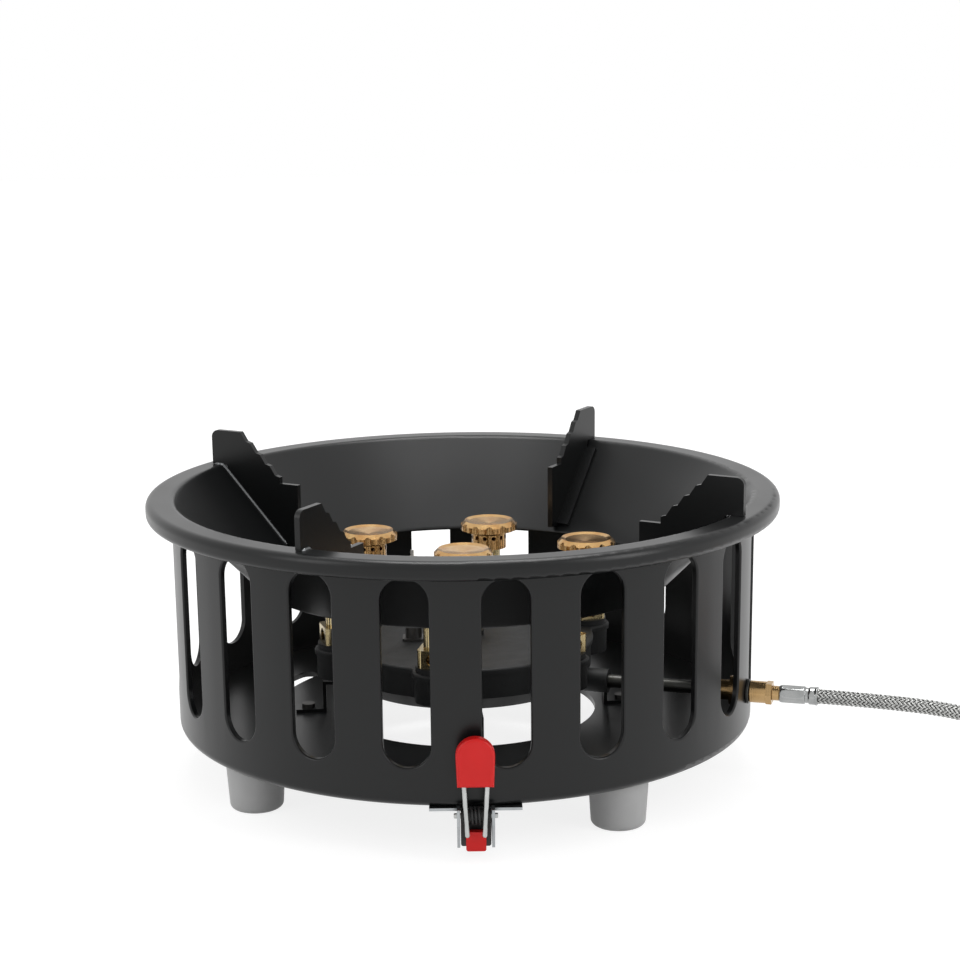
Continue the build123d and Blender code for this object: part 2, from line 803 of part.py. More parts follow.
# Igniter bracket: a plate under the shell's base, with a folded cheek on each side of the lever
bracket_half = bracket_inner_width / 2
bracket_ear_y = -(shell_radius + pin_setout * 0.4)
pin_axis = Plane(origin=(lever_x, pin_y, pin_z), x_dir=(0, 1, 0), z_dir=(1, 0, 0))
with BuildPart() as igniter_bracket:
    with BuildSketch(Plane.YZ.offset(lever_x)) as cheek_outline:
        with BuildLine():
            Polyline(
                (bracket_ear_y, shell_bottom),
                (bracket_ear_y, pin_z + bracket_front_reach),
                (pin_y - bracket_front_reach, pin_z + bracket_front_reach),
                (pin_y - bracket_front_reach, pin_z - bracket_front_reach),
                (pin_y + bracket_front_reach, bracket_low_z),
                (bracket_back_y, bracket_low_z),
                (bracket_back_y, shell_bottom),
                close=True,
            )
        make_face()
        fillet(cheek_outline.vertices().sort_by(Axis.X)[:2], bracket_sheet)
    extrude(amount=bracket_half + bracket_sheet, both=True)
    with Locations((lever_x, bracket_back_y - bracket_length / 2, shell_bottom - bracket_sheet / 2)):
        Box(bracket_web_width, bracket_length, bracket_sheet)
    with Locations((lever_x, 0, 0)):
        Box(bracket_inner_width, 4 * rim_radius, 2 * (shell_bottom - bracket_sheet), mode=Mode.SUBTRACT)
    with Locations((lever_x, bracket_front_y - rim_radius, shell_bottom)):
        Box(bracket_inner_width, 2 * rim_radius, 4 * bracket_sheet, mode=Mode.SUBTRACT)
    with BuildSketch(pin_axis):
        Circle(pin_radius + running_gap)
    extrude(amount=pin_length, both=True, mode=Mode.SUBTRACT)
    with Locations(*[(x, y, shell_bottom) for x, y in bracket_screw_spots]):
        Cylinder(screw_radius + slip_gap, 4 * bracket_sheet, mode=Mode.SUBTRACT)
finish(igniter_bracket, "igniter_bracket")

with BuildPart() as lever_pin:
    with BuildSketch(pin_axis):
        Circle(pin_radius)
    extrude(amount=pin_length / 2, both=True)
    chamfer(lever_pin.edges().filter_by(GeomType.CIRCLE), pin_radius * 0.25)
finish(lever_pin, "lever_pin")

# Lever: a bush on the pin, a bent wire welded to its front, and a moulded grip
wire_y = pin_y - bush_radius - wire_radius
wire_tip = wire_tip_z + wire_radius


def wire_path():
    """Both legs of the wire and the arch inside the grip, from tip to tip."""
    with BuildLine() as path:
        left_tip = (lever_x - wire_tip_spacing / 2, wire_y, wire_tip)
        left_top = (lever_x - wire_top_spacing / 2, wire_y, wire_arch_z)
        right_top = (lever_x + wire_top_spacing / 2, wire_y, wire_arch_z)
        right_tip = (lever_x + wire_tip_spacing / 2, wire_y, wire_tip)
        FilletPolyline(left_tip, left_top, right_top, right_tip, radius=wire_top_spacing / 3)
    return path.line


lever_line = wire_path()
wire_start = Plane(origin=lever_line @ 0, z_dir=lever_line % 0)
with BuildPart() as lever_bush:
    with BuildSketch(pin_axis):
        Circle(bush_radius)
        Circle(pin_radius + running_gap, mode=Mode.SUBTRACT)
    extrude(amount=bush_length / 2, both=True)
finish(lever_bush, "lever_bush")

with BuildPart() as lever_wire:
    with BuildSketch(wire_start):
        Circle(wire_radius)
    sweep(path=lever_line)
    with Locations(lever_line @ 0, lever_line @ 1):
        Sphere(wire_radius)
finish(lever_wire, "lever_wire")

with BuildPart() as lever_grip:
    with BuildSketch(Plane.XZ.offset(-wire_y - grip_depth / 2)):
        with BuildLine():
            Polyline(
                (lever_x - grip_low_width / 2, grip_low_z),
                (lever_x + grip_low_width / 2, grip_low_z),
                (lever_x + grip_width / 2, grip_low_z + grip_height - grip_width / 2),
                (lever_x - grip_width / 2, grip_low_z + grip_height - grip_width / 2),
                close=True,
            )
        make_face()
        with Locations((lever_x, grip_low_z + grip_height - grip_width / 2)):
            Circle(grip_width / 2)
    extrude(amount=grip_depth)
    fillet(lever_grip.faces().filter_by(Axis.Y).edges(), grip_round)
    with BuildSketch(wire_start):
        Circle(wire_radius + running_gap)
    sweep(path=lever_line, mode=Mode.SUBTRACT)
finish(lever_grip, "lever_grip")

# Return spring: a wound wire round the bush, with one leg under the bracket's web
spring_radius = bush_radius + curved_gap + spring_wire_radius
spring_pitch = 2 * spring_wire_radius + spring_gap
spring_length = spring_turns * spring_pitch
with BuildPart() as lever_spring:
    with BuildLine() as spring_path:
        slope = spring_pitch / hypot(spring_pitch, 2 * pi * spring_radius)
        flat = sqrt(1 - slope * slope)
        stations = []
        for step in range(4 * spring_turns + 1):
            turn = step * pi / 2 - pi / 2
            place = Vector(
                lever_x - spring_length / 2 + spring_pitch * step / 4,
                pin_y - spring_radius * sin(turn),
                pin_z + spring_radius * cos(turn),
            )
            heading = Vector(slope, -flat * cos(turn), -flat * sin(turn))
            stations.append((place, heading))
        Line(stations[0][0] - stations[0][1] * spring_legs[0], stations[0][0])
        for (place, heading), (end, end_heading) in zip(stations, stations[1:]):
            middle, middle_heading = biarc_middle(place, heading, end, end_heading)
            TangentArc(place, middle, tangent=heading)
            TangentArc(middle, end, tangent=middle_heading)
        Line(stations[-1][0], stations[-1][0] + stations[-1][1] * spring_legs[1])
    with BuildSketch(Plane(origin=spring_path.line @ 0, z_dir=spring_path.line % 0)):
        Circle(spring_wire_radius)
    sweep(path=spring_path.line)
finish(lever_spring, "lever_spring")

# Igniter: a plunger button that the wire's tips push, in a moulded body under the bracket's plate
button_front = wire_y + wire_radius + button_contact_gap
button_back = button_front + button_plate
piezo_front = button_back + button_travel + piezo_front_gap
piezo_top = shell_bottom - bracket_sheet
stem_z = button_low_z + button_height / 2
with BuildPart() as igniter_button:
    with BuildSketch(Plane.XZ.offset(-button_front)):
        with Locations((lever_x, stem_z)):
            RectangleRounded(button_width, button_height, wire_radius)
    extrude(amount=-button_plate)
    with BuildSketch(Plane.XZ.offset(-button_back)):
        with Locations((lever_x, stem_z)):
            RectangleRounded(button_stem, button_stem, wire_radius / 2)
    extrude(amount=-button_stem_length)
finish(igniter_button, "igniter_button")

with BuildPart() as igniter_body:
    with BuildSketch(Plane.XZ.offset(-piezo_front)):
        with Locations((lever_x, (button_low_z + piezo_top) / 2)):
            RectangleRounded(piezo_width, piezo_top - button_low_z, wire_radius)
    extrude(amount=-piezo_length)
    with BuildSketch(Plane.XZ.offset(-piezo_front)):
        with Locations((lever_x, stem_z)):
            RectangleRounded(button_stem + 2 * slip_gap, button_stem + 2 * slip_gap, wire_radius / 2)
    extrude(amount=-button_stem_length - slip_gap, mode=Mode.SUBTRACT)
    with BuildSketch(Plane.XZ.offset(-piezo_front - piezo_length)):
        with Locations((lever_x, lead_route[0].Z)):
            Circle(piezo_nozzle_radius)
    extrude(amount=-(lead_route[0].Y - piezo_front - piezo_length))
finish(igniter_body, "igniter_body")

# Gas inlet: a pipe from the manifold to a fitting clamped in the shell's wall
fitting_face = sqrt(shell_inner ** 2 - fitting_flange_radius ** 2) - slip_gap
fitting_back = fitting_face - fitting_flange
locknut_start = shell_radius + slip_gap
locknut_end = locknut_start + locknut_thickness
stub_end = locknut_end + stub_length
pipe_end = fitting_back - fitting_shank + pipe_depth

pipe_start = socket_reach - pipe_depth + slip_gap
with BuildPart() as inlet_pipe:
    for radius, start, end in [(pipe_radius, pipe_start, pipe_end - slip_gap)]:
        with BuildSketch(outward_plane(start, inlet_azimuth, inlet_z)):
            Circle(radius)
        extrude(amount=end - start)
    for radius, start, end in [(pipe_bore_radius, pipe_start, pipe_end - slip_gap)]:
        with BuildSketch(outward_plane(start, inlet_azimuth, inlet_z)):
            Circle(radius)
        extrude(amount=end - start, mode=Mode.SUBTRACT)
finish(inlet_pipe, "inlet_pipe")

with BuildPart() as inlet_fitting:
    for radius, start, end in [
        (fitting_shank_radius, fitting_back - fitting_shank, fitting_back),
        (fitting_flange_radius, fitting_back, fitting_face),
        (fitting_stub_radius, fitting_face, stub_end),
    ]:
        with BuildSketch(outward_plane(start, inlet_azimuth, inlet_z)):
            Circle(radius)
        extrude(amount=end - start)
    for radius, start, end in [
        (pipe_radius + slip_gap, fitting_back - fitting_shank, pipe_end),
        (fitting_bore_radius, pipe_end, stub_end),
    ]:
        with BuildSketch(outward_plane(start, inlet_azimuth, inlet_z)):
            Circle(radius)
        extrude(amount=end - start, mode=Mode.SUBTRACT)
finish(inlet_fitting, "inlet_fitting")

with BuildPart() as inlet_locknut:
    for radius, start, end in [(locknut_radius, locknut_start, locknut_end)]:
        with BuildSketch(outward_plane(start, inlet_azimuth, inlet_z)):
            Circle(radius)
        extrude(amount=end - start)
    for radius, start, end in [(fitting_stub_radius + slip_gap, locknut_start, locknut_end)]:
        with BuildSketch(outward_plane(start, inlet_azimuth, inlet_z)):
            Circle(radius)
        extrude(amount=end - start, mode=Mode.SUBTRACT)
    outer_edges = inlet_locknut.edges().filter_by(GeomType.CIRCLE).sort_by(SortBy.RADIUS)[-2:]
    chamfer(outer_edges, locknut_thickness / 6)
finish(inlet_locknut, "inlet_locknut")

# Hose end: a union nut, a nipple and a crimped ferrule
nut_start = locknut_end + slip_gap
nut_hex_start = nut_start + nut_round_length
nut_end = nut_hex_start + nut_hex_length
collar_end = stub_end + nipple_collar
ring_start = nut_end + slip_gap
ferrule_start = ring_start + nipple_ring
ferrule_ring_start = ferrule_start + ferrule_length
ferrule_end = ferrule_ring_start + ferrule_ring
hose_start = ferrule_start + ferrule_back
with BuildPart() as hose_nut:
    for radius, start, end in [(nut_round_radius, nut_start, nut_hex_start)]:
        with BuildSketch(outward_plane(start, inlet_azimuth, inlet_z)):
            Circle(radius)
        extrude(amount=end - start)
    with BuildSketch(outward_plane(nut_hex_start, inlet_azimuth, inlet_z)):
        RegularPolygon(nut_hex_radius, 6)
    extrude(amount=nut_hex_length)
    chamfer(hose_nut.faces().filter_by(GeomType.CYLINDER).edges().filter_by(GeomType.CIRCLE)[:1], nut_edge)
    for radius, start, end in [
        (fitting_stub_radius + slip_gap, nut_start, collar_end + slip_gap),
        (nipple_neck_radius + slip_gap, collar_end, nut_end),
    ]:
        with BuildSketch(outward_plane(start, inlet_azimuth, inlet_z)):
            Circle(radius)
        extrude(amount=end - start, mode=Mode.SUBTRACT)
finish(hose_nut, "hose_nut")

with BuildPart() as hose_nipple:
    for radius, start, end in [
        (fitting_stub_radius, stub_end, collar_end),
        (nipple_neck_radius, collar_end, ring_start),
        (nipple_ring_radius, ring_start, ferrule_start),
    ]:
        with BuildSketch(outward_plane(start, inlet_azimuth, inlet_z)):
            Circle(radius)
        extrude(amount=end - start)
    for radius, start, end in [(fitting_bore_radius, stub_end, ferrule_start)]:
        with BuildSketch(outward_plane(start, inlet_azimuth, inlet_z)):
            Circle(radius)
        extrude(amount=end - start, mode=Mode.SUBTRACT)
finish(hose_nipple, "hose_nipple")

with BuildPart() as hose_ferrule:
    for radius, start, end in [
        (ferrule_radius, ferrule_start, ferrule_ring_start),
        (ferrule_ring_radius, ferrule_ring_start, ferrule_end),
    ]:
        with BuildSketch(outward_plane(start, inlet_azimuth, inlet_z)):
            Circle(radius)
        extrude(amount=end - start)
    for radius, start, end in [
        (fitting_bore_radius, ferrule_start, hose_start),
        (hose_radius + running_gap, hose_start, ferrule_end),
    ]:
        with BuildSketch(outward_plane(start, inlet_azimuth, inlet_z)):
            Circle(radius)
        extrude(amount=end - start, mode=Mode.SUBTRACT)
    crimp_pitch = ferrule_length / (crimp_count + 1)
    for crimp in range(1, crimp_count + 1):
        with BuildSketch(outward_plane(ferrule_start + crimp * crimp_pitch, inlet_azimuth, inlet_z)):
            Circle(ferrule_radius + crimp_depth)
            Circle(ferrule_radius - crimp_depth, mode=Mode.SUBTRACT)
        extrude(amount=crimp_pitch / 4, both=True, mode=Mode.SUBTRACT)
finish(hose_ferrule, "hose_ferrule")

# Hose: a free run that comes down to the surface, and the rest of its length in a coil
hose_floor = hose_radius + tie_gap + tie_sheet
hose_places = [(hose_start, inlet_z), *hose_route, (touch_down, hose_floor), (coil_start, hose_floor)]
hose_points = [polar(distance, inlet_azimuth, height) for distance, height in hose_places]
hose_bends = route_radii(hose_points)
with BuildPart() as hose_run:
    with BuildLine() as run_path:
        FilletPolyline(*hose_points, radius=hose_bends)
    with BuildSketch(Plane(origin=run_path.line @ 0, z_dir=run_path.line % 0)):
        Circle(hose_radius)
    sweep(path=run_path.line)
finish(hose_run, "hose_run")
print("hose bend radii", [round(bend, 1) for bend in hose_bends])
print("hose run volume ratio", hose_run.part.volume / (pi * hose_radius ** 2 * run_path.wire().length))

# Coil: spirals in on the lower layer, climbs where the spiral reverses, and spirals out above it
run_dir = polar(1.0, inlet_azimuth)
coil_left = Vector(-run_dir.Y, run_dir.X, 0)
coil_lead = 2 * hose_radius
coil_centre = polar(coil_start + coil_lead, inlet_azimuth) + coil_left * coil_radius
coil_turn = 360 * coil_turns + Vector(0, 1, 0).get_angle(run_dir)
middle_turn = coil_turn / 2
climb_turn = coil_turn / coil_steps


def coil_reach(turn):
    """Distance of the hose from the coil's centre after a turn in degrees."""
    return coil_radius - coil_pitch * (middle_turn - abs(turn - middle_turn)) / 360


def coil_station(turn):
    """Place and direction of the hose after a turn in degrees."""
    angle = radians(turn)
    spoke = run_dir * sin(angle) - coil_left * cos(angle)
    along = run_dir * cos(angle) + coil_left * sin(angle)
    reach = coil_reach(turn)
    inward = 0.0 if abs(turn - middle_turn) < 1 else coil_pitch / (2 * pi)
    inward = inward if turn < middle_turn else -inward
    share = min(max((turn - middle_turn + climb_turn) / (2 * climb_turn), 0), 1)
    height = hose_floor + coil_pitch * share * share * (3 - 2 * share)
    rise = coil_pitch * 6 * share * (1 - share) / radians(2 * climb_turn)
    level = 0.0 if turn in (0.0, coil_turn) else inward
    heading = along * reach - spoke * level + Vector(0, 0, rise)
    return coil_centre + spoke * reach + Vector(0, 0, height), heading.normalized()


coil_stations = [coil_station(coil_turn * step / coil_steps) for step in range(coil_steps + 1)]
with BuildPart() as hose_coil:
    with BuildLine() as coil_path:
        first_place, first_heading = coil_stations[0]
        Line(first_place - first_heading * coil_lead, first_place)
        for (place, heading), (end, end_heading) in zip(coil_stations, coil_stations[1:]):
            middle, middle_heading = biarc_middle(place, heading, end, end_heading)
            TangentArc(place, middle, tangent=heading)
            TangentArc(middle, end, tangent=middle_heading)
        last_place, last_heading = coil_stations[-1]
        Line(last_place, last_place + last_heading * coil_tail)
    with BuildSketch(Plane(origin=coil_path.line @ 0, z_dir=coil_path.line % 0)):
        Circle(hose_radius)
    sweep(path=coil_path.line)
finish(hose_coil, "hose_coil")


def least_self_gap(line, radius, samples):
    """Least clear distance between turns of a tube, measured on points along its middle."""
    points = [line @ (step / samples) for step in range(samples + 1)]
    apart = int(samples * 6 * radius / line.length) + 1
    gaps = [
        (points[first] - points[second]).length - 2 * radius
        for first in range(samples + 1)
        for second in range(first + apart, samples + 1)
    ]
    return min(gaps)


print("coil least self gap", round(least_self_gap(coil_path.wire(), hose_radius, 320), 3))
print("coil volume ratio", hose_coil.part.volume / (pi * hose_radius ** 2 * coil_path.wire().length))
print("hose length", round(run_path.wire().length + coil_path.wire().length, 1))
print("spring least self gap", round(least_self_gap(spring_path.wire(), spring_wire_radius, 120), 3))

# Tie: a strap round the coil where one turn lies on the other
tie_angle = radians(tie_turn)
tie_spoke = run_dir * sin(tie_angle) - coil_left * cos(tie_angle)
tie_reaches = [coil_reach(tie_turn), coil_reach(tie_turn + 360)]
tie_width_inside = abs(tie_reaches[0] - tie_reaches[1]) + 2 * hose_radius + 2 * tie_side_gap
tie_height_inside = coil_pitch + 2 * hose_radius + 2 * tie_gap
tie_plane = Plane(
    origin=coil_centre + tie_spoke * (sum(tie_reaches) / 2) + Vector(0, 0, hose_floor + coil_pitch / 2),
    x_dir=tie_spoke,
    z_dir=tie_spoke.cross(Vector(0, 0, 1)),
)
with BuildPart() as coil_tie:
    with BuildSketch(tie_plane):
        RectangleRounded(tie_width_inside + 2 * tie_sheet, tie_height_inside + 2 * tie_sheet, hose_radius)
        RectangleRounded(tie_width_inside, tie_height_inside, hose_radius - tie_sheet, mode=Mode.SUBTRACT)
    extrude(amount=tie_width / 2, both=True)
finish(coil_tie, "coil_tie")

# Valve that screws on a gas cartridge: body, collar with a threaded bore, seal, spindle and knob
valve_plane = Plane(origin=last_place, x_dir=(-1, 0, 0), z_dir=last_heading)
valve_body_start = valve_ferrule_start + valve_ferrule_length
valve_middle = valve_body_start + valve_body_length / 2
valve_end = valve_body_start + valve_body_length
packing_end = valve_end + packing_length
collar_axis = Plane(origin=last_place + last_heading * valve_middle, x_dir=(0, 1, 0), z_dir=(1, 0, 0))
collar_start = valve_body_radius + collar_neck_length
collar_mouth = collar_start + collar_length
relief_floor = collar_mouth - collar_bore_depth - relief_depth
with BuildPart() as valve_ferrule:
    with BuildSketch(valve_plane.offset(valve_ferrule_start)):
        Circle(ferrule_radius)
    extrude(amount=valve_ferrule_length)
    with BuildSketch(valve_plane.offset(valve_ferrule_start)):
        Circle(hose_radius + running_gap)
    extrude(amount=coil_tail - valve_ferrule_start, mode=Mode.SUBTRACT)
finish(valve_ferrule, "valve_ferrule")

with BuildPart() as valve_body:
    with BuildSketch(valve_plane.offset(valve_body_start)):
        Circle(valve_body_radius)
    extrude(amount=valve_body_length)
    chamfer(valve_body.edges().filter_by(GeomType.CIRCLE), valve_body_radius / 8)
    with BuildSketch(collar_axis):
        Circle(collar_neck_radius)
    extrude(amount=collar_start)
    with BuildSketch(collar_axis.offset(collar_start)):
        Circle(collar_radius)
    extrude(amount=collar_length)
    with BuildSketch(valve_plane.offset(valve_end)):
        RegularPolygon(packing_hex_radius, 6)
    extrude(amount=packing_length)
    with BuildSketch(collar_axis.offset(collar_mouth)):
        Circle(collar_bore_radius)
    extrude(amount=-collar_bore_depth, mode=Mode.SUBTRACT)
    with BuildSketch(collar_axis.offset(relief_floor)):
        Circle(relief_radius)
    extrude(amount=relief_depth, mode=Mode.SUBTRACT)
    with BuildSketch(collar_axis.offset(relief_floor)):
        Circle(gas_pin_radius)
    extrude(amount=gas_pin_height)
    with BuildSketch(valve_plane.offset(packing_end)):
        Circle(spindle_radius + running_gap)
    extrude(amount=-(packing_length + valve_body_radius / 2), mode=Mode.SUBTRACT)
finish(valve_body, "valve_body")

with BuildPart() as valve_seal:
    with Locations(collar_axis.offset(relief_floor + seal_section_radius)):
        Torus(seal_ring_radius, seal_section_radius)
finish(valve_seal, "valve_seal")

spindle_start = packing_end - packing_length - valve_body_radius / 2 + slip_gap
knob_start = packing_end + knob_gap
with BuildPart() as valve_spindle:
    with BuildSketch(valve_plane.offset(spindle_start)):
        Circle(spindle_radius)
    extrude(amount=spindle_length)
finish(valve_spindle, "valve_spindle")

with BuildPart() as valve_knob:
    with BuildSketch(valve_plane.offset(knob_start)):
        Circle(knob_radius)
        with PolarLocations(knob_radius + knob_flute_radius / 2, knob_flutes):
            Circle(knob_flute_radius, mode=Mode.SUBTRACT)
    extrude(amount=knob_length)
    with BuildSketch(valve_plane.offset(knob_start)):
        Circle(spindle_radius + running_gap)
    extrude(amount=spindle_start + spindle_length - knob_start + running_gap, mode=Mode.SUBTRACT)
finish(valve_knob, "valve_knob")
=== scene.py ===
"""Dresses the camping gas stove: hose, ferrules, strap, welds, finishes, floor, light and camera."""

import json
from math import cos, pi, radians, sin

import bpy
import numpy as np
from bpy.props import FloatProperty, FloatVectorProperty, IntProperty, PointerProperty, StringProperty
from mathutils import Matrix, Vector

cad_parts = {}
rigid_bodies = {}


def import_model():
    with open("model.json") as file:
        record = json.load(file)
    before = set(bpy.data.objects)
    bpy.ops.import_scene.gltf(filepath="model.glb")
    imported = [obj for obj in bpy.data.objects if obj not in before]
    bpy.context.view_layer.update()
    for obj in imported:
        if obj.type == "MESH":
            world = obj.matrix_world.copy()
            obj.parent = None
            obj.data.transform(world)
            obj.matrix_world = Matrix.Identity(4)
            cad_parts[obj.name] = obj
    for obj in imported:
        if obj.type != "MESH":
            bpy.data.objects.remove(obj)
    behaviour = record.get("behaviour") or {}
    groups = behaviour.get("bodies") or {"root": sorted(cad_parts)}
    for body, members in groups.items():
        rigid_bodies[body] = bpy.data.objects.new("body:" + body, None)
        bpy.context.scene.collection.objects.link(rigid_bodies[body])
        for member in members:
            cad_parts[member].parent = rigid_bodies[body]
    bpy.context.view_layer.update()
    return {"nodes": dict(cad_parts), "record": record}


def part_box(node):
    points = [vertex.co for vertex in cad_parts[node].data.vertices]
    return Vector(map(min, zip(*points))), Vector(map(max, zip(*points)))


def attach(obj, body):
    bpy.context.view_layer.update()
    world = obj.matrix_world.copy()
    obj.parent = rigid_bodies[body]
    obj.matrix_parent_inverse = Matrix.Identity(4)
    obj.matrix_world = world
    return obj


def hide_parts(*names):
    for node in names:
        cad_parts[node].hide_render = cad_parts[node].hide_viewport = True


bl_info = {
    "name": "Camping Gas Stove",
    "version": (1, 0, 0),
    "blender": (4, 5, 0),
    "location": "View3D > Sidebar > Stove",
    "description": "Finishes and detail pieces of a camping gas stove",
    "category": "Object",
}

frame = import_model()
nodes = frame["nodes"]

MM = 0.001

# The hose leaves the shell along this level direction, and the coil turns to its left
RUN = np.array((sin(radians(73.0)), -cos(radians(73.0)), 0.0))
LEFT = np.array((cos(radians(73.0)), sin(radians(73.0)), 0.0))
UP = np.array((0.0, 0.0, 1.0))

# Distance along the run and height of the hose's control points, in millimetres
HOSE_RUN = (
    (148.0, 41.5),
    (186.0, 41.5),
    (224.0, 39.6),
    (246.0, 32.8),
    (262.0, 22.0),
    (280.0, 11.0),
    (302.0, 4.575),
    (320.0, 4.575),
)
COIL_START = 326.75
COIL_RADIUS = 41.0
COIL_PITCH = 7.3
COIL_TURN = 827.0
COIL_STEP = 15.0
CLIMB_TURN = 82.7
LYING_HEIGHT = 4.575
COIL_TAIL = 14.0

# A flat strand's section in widths and crowns, and the steps of strands and liner along the hose, in metres
STRAND_SECTION = np.array(((-0.5, 0.0), (0.0, 1.0), (0.5, 0.0), (0.0, -0.6)))
STRAND_STEP = 0.0009
LINER_STEP = 0.003
LINER_SIDES = 24

# Distance from the stove's axis and radius along the near ferrule, in millimetres
FERRULE_PROFILE = (
    (145.5, 3.0),
    (145.6, 3.45),
    (146.1, 3.85),
    (146.8, 3.95),
    (156.5, 3.95),
    (157.0, 3.75),
    (157.2, 3.42),
    (158.5, 3.42),
    (158.7, 3.75),
    (159.1, 3.95),
    (161.2, 4.0),
    (162.1, 4.2),
    (162.5, 4.05),
)
FERRULE_BORE = 3.38
FERRULE_FLATS = 6
FERRULE_SIDES = 96

# Start, end and depth of each crimp, and the length over which its flats fade out, in millimetres
NEAR_CRIMP = (146.6, 156.2, 0.32)
FAR_CRIMP = (6.0, 15.0, 0.32)
CRIMP_EASE = 1.2

# The near crimp's turn, which shows a flat to the front as on the real one
NEAR_TURN = radians(15.0)

# Turn that lays the tool lines of a finish along a level axis
LEVEL = (0.0, pi / 2, 0.0)

# The far ferrule is the near one, a little shorter and with a lower lip
FAR_SHARE = 16.0 / 17.0
FAR_RADIUS = 3.95

# Azimuths of the pot supports, half their sheet, and their seam's radii and heights, in millimetres
SUPPORT_AZIMUTHS = (-29.0, 61.0, 151.0, 241.0)
SUPPORT_HALF_SHEET = 1.25
SUPPORT_SEAM = ((135.2, 127.3), (130.9, 127.3), (130.1, 127.15), (129.4, 126.6), (95.0, 91.3))

# Step along a weld bead, pitch of its ripple and length of its tapered ends, in metres
WELD_STEP = 0.0006
WELD_RIPPLE = 0.0024
WELD_TAPER = 0.0015
WELD_SIDES = 14

# Turn of the coil at which the strap holds it, and the radius of the strap's bend
TIE_TURN = 223.0
TIE_CORNER = 4.6

# Half the strap's width and thickness, its ribs' height and the lift of its lapped end, in millimetres
STRAP_HALF_WIDTH = 5.0
STRAP_HALF_SHEET = 0.28
STRAP_RIB = 0.05
STRAP_LAP = 0.62
STRAP_STATIONS = 132
STRAP_RIBS = 9

# Share of the floor that is plain white to the eye, and its strength; the rest keeps the shadow
FLOOR_SHARE = 0.72
FLOOR_GLOW = 1.16
WHITE = (1.0, 1.0, 1.0, 1.0)

# Name, place, size and watts of each soft lamp
LAMPS = (
    ("left_box", (-1.3, -0.9, 0.9), (0.5, 1.2), 5.0),
    ("right_box", (1.3, -0.8, 0.8), (0.4, 1.2), 8.0),
    ("top_box", (0.0, 0.3, 1.6), (0.8, 0.6), 15.0),
)


def linear(code):
    """An sRGB hex colour such as 3a3b3c as linear red, green, blue and alpha."""
    parts = np.array([int(code[i : i + 2], 16) for i in (0, 2, 4)]) / 255.0
    flat = np.where(parts <= 0.04045, parts / 12.92, ((parts + 0.055) / 1.055) ** 2.4)
    return (*flat.tolist(), 1.0)


def add(tree, kind, sockets=None, **settings):
    """Adds a node with its settings, and gives each socket a value or a link from another node's output."""
    made = tree.nodes.new(kind)
    for key, value in settings.items():
        setattr(made, key, value)
    for key, value in (sockets or {}).items():
        if isinstance(value, bpy.types.NodeSocket):
            tree.links.new(value, made.inputs[key])
        else:
            made.inputs[key].default_value = value
    return made


def new_material(name):
    """An empty node material and its output node."""
    made = bpy.data.materials.new(name)
    made.use_nodes = True
    made.node_tree.nodes.clear()
    return made, add(made.node_tree, "ShaderNodeOutputMaterial")


def coated(
    name, pale, deep, rough, patch, grit, relief, metallic=0.0, ior=1.5, sheen=0.0, coat=0.0, soften=0.0
):
    """A surface whose colour drifts over patch, with a grain of grit and softened edges, in millimetres.

    Grains of mouldings and plating are finer in truth, and are drawn as coarse as they need to show.
    """
    made, output = new_material(name)
    tree = made.node_tree
    place = add(tree, "ShaderNodeTexCoord").outputs["Object"]
    drift = add(
        tree, "ShaderNodeTexNoise", {"Vector": place, "Scale": 1.0 / (patch * MM), "Detail": 4.0}
    )
    grain = add(
        tree, "ShaderNodeTexNoise", {"Vector": place, "Scale": 1.0 / (grit * MM), "Detail": 2.0}
    )
    tone = add(
        tree,
        "ShaderNodeMix",
        {"Factor": drift.outputs["Fac"], "A": linear(pale), "B": linear(deep)},
        data_type="RGBA",
    )
    gloss = add(
        tree,
        "ShaderNodeMapRange",
        {"Value": drift.outputs["Fac"], "To Min": rough * 0.85, "To Max": rough * 1.15},
    )
    bump = add(
        tree,
        "ShaderNodeBump",
        {"Strength": 1.0, "Distance": relief * MM, "Height": grain.outputs["Fac"]},
    )
    if soften > 0.0:
        rounded = add(tree, "ShaderNodeBevel", {"Radius": soften * MM}, samples=8)
        tree.links.new(rounded.outputs["Normal"], bump.inputs["Normal"])
    shader = add(
        tree,
        "ShaderNodeBsdfPrincipled",
        {
            "Base Color": tone.outputs["Result"],
            "Metallic": metallic,
            "Roughness": gloss.outputs["Result"],
            "IOR": ior,
            "Normal": bump.outputs["Normal"],
            "Sheen Weight": sheen,
            "Coat Weight": coat,
        },
    )
    tree.links.new(shader.outputs["BSDF"], output.inputs["Surface"])
    return made


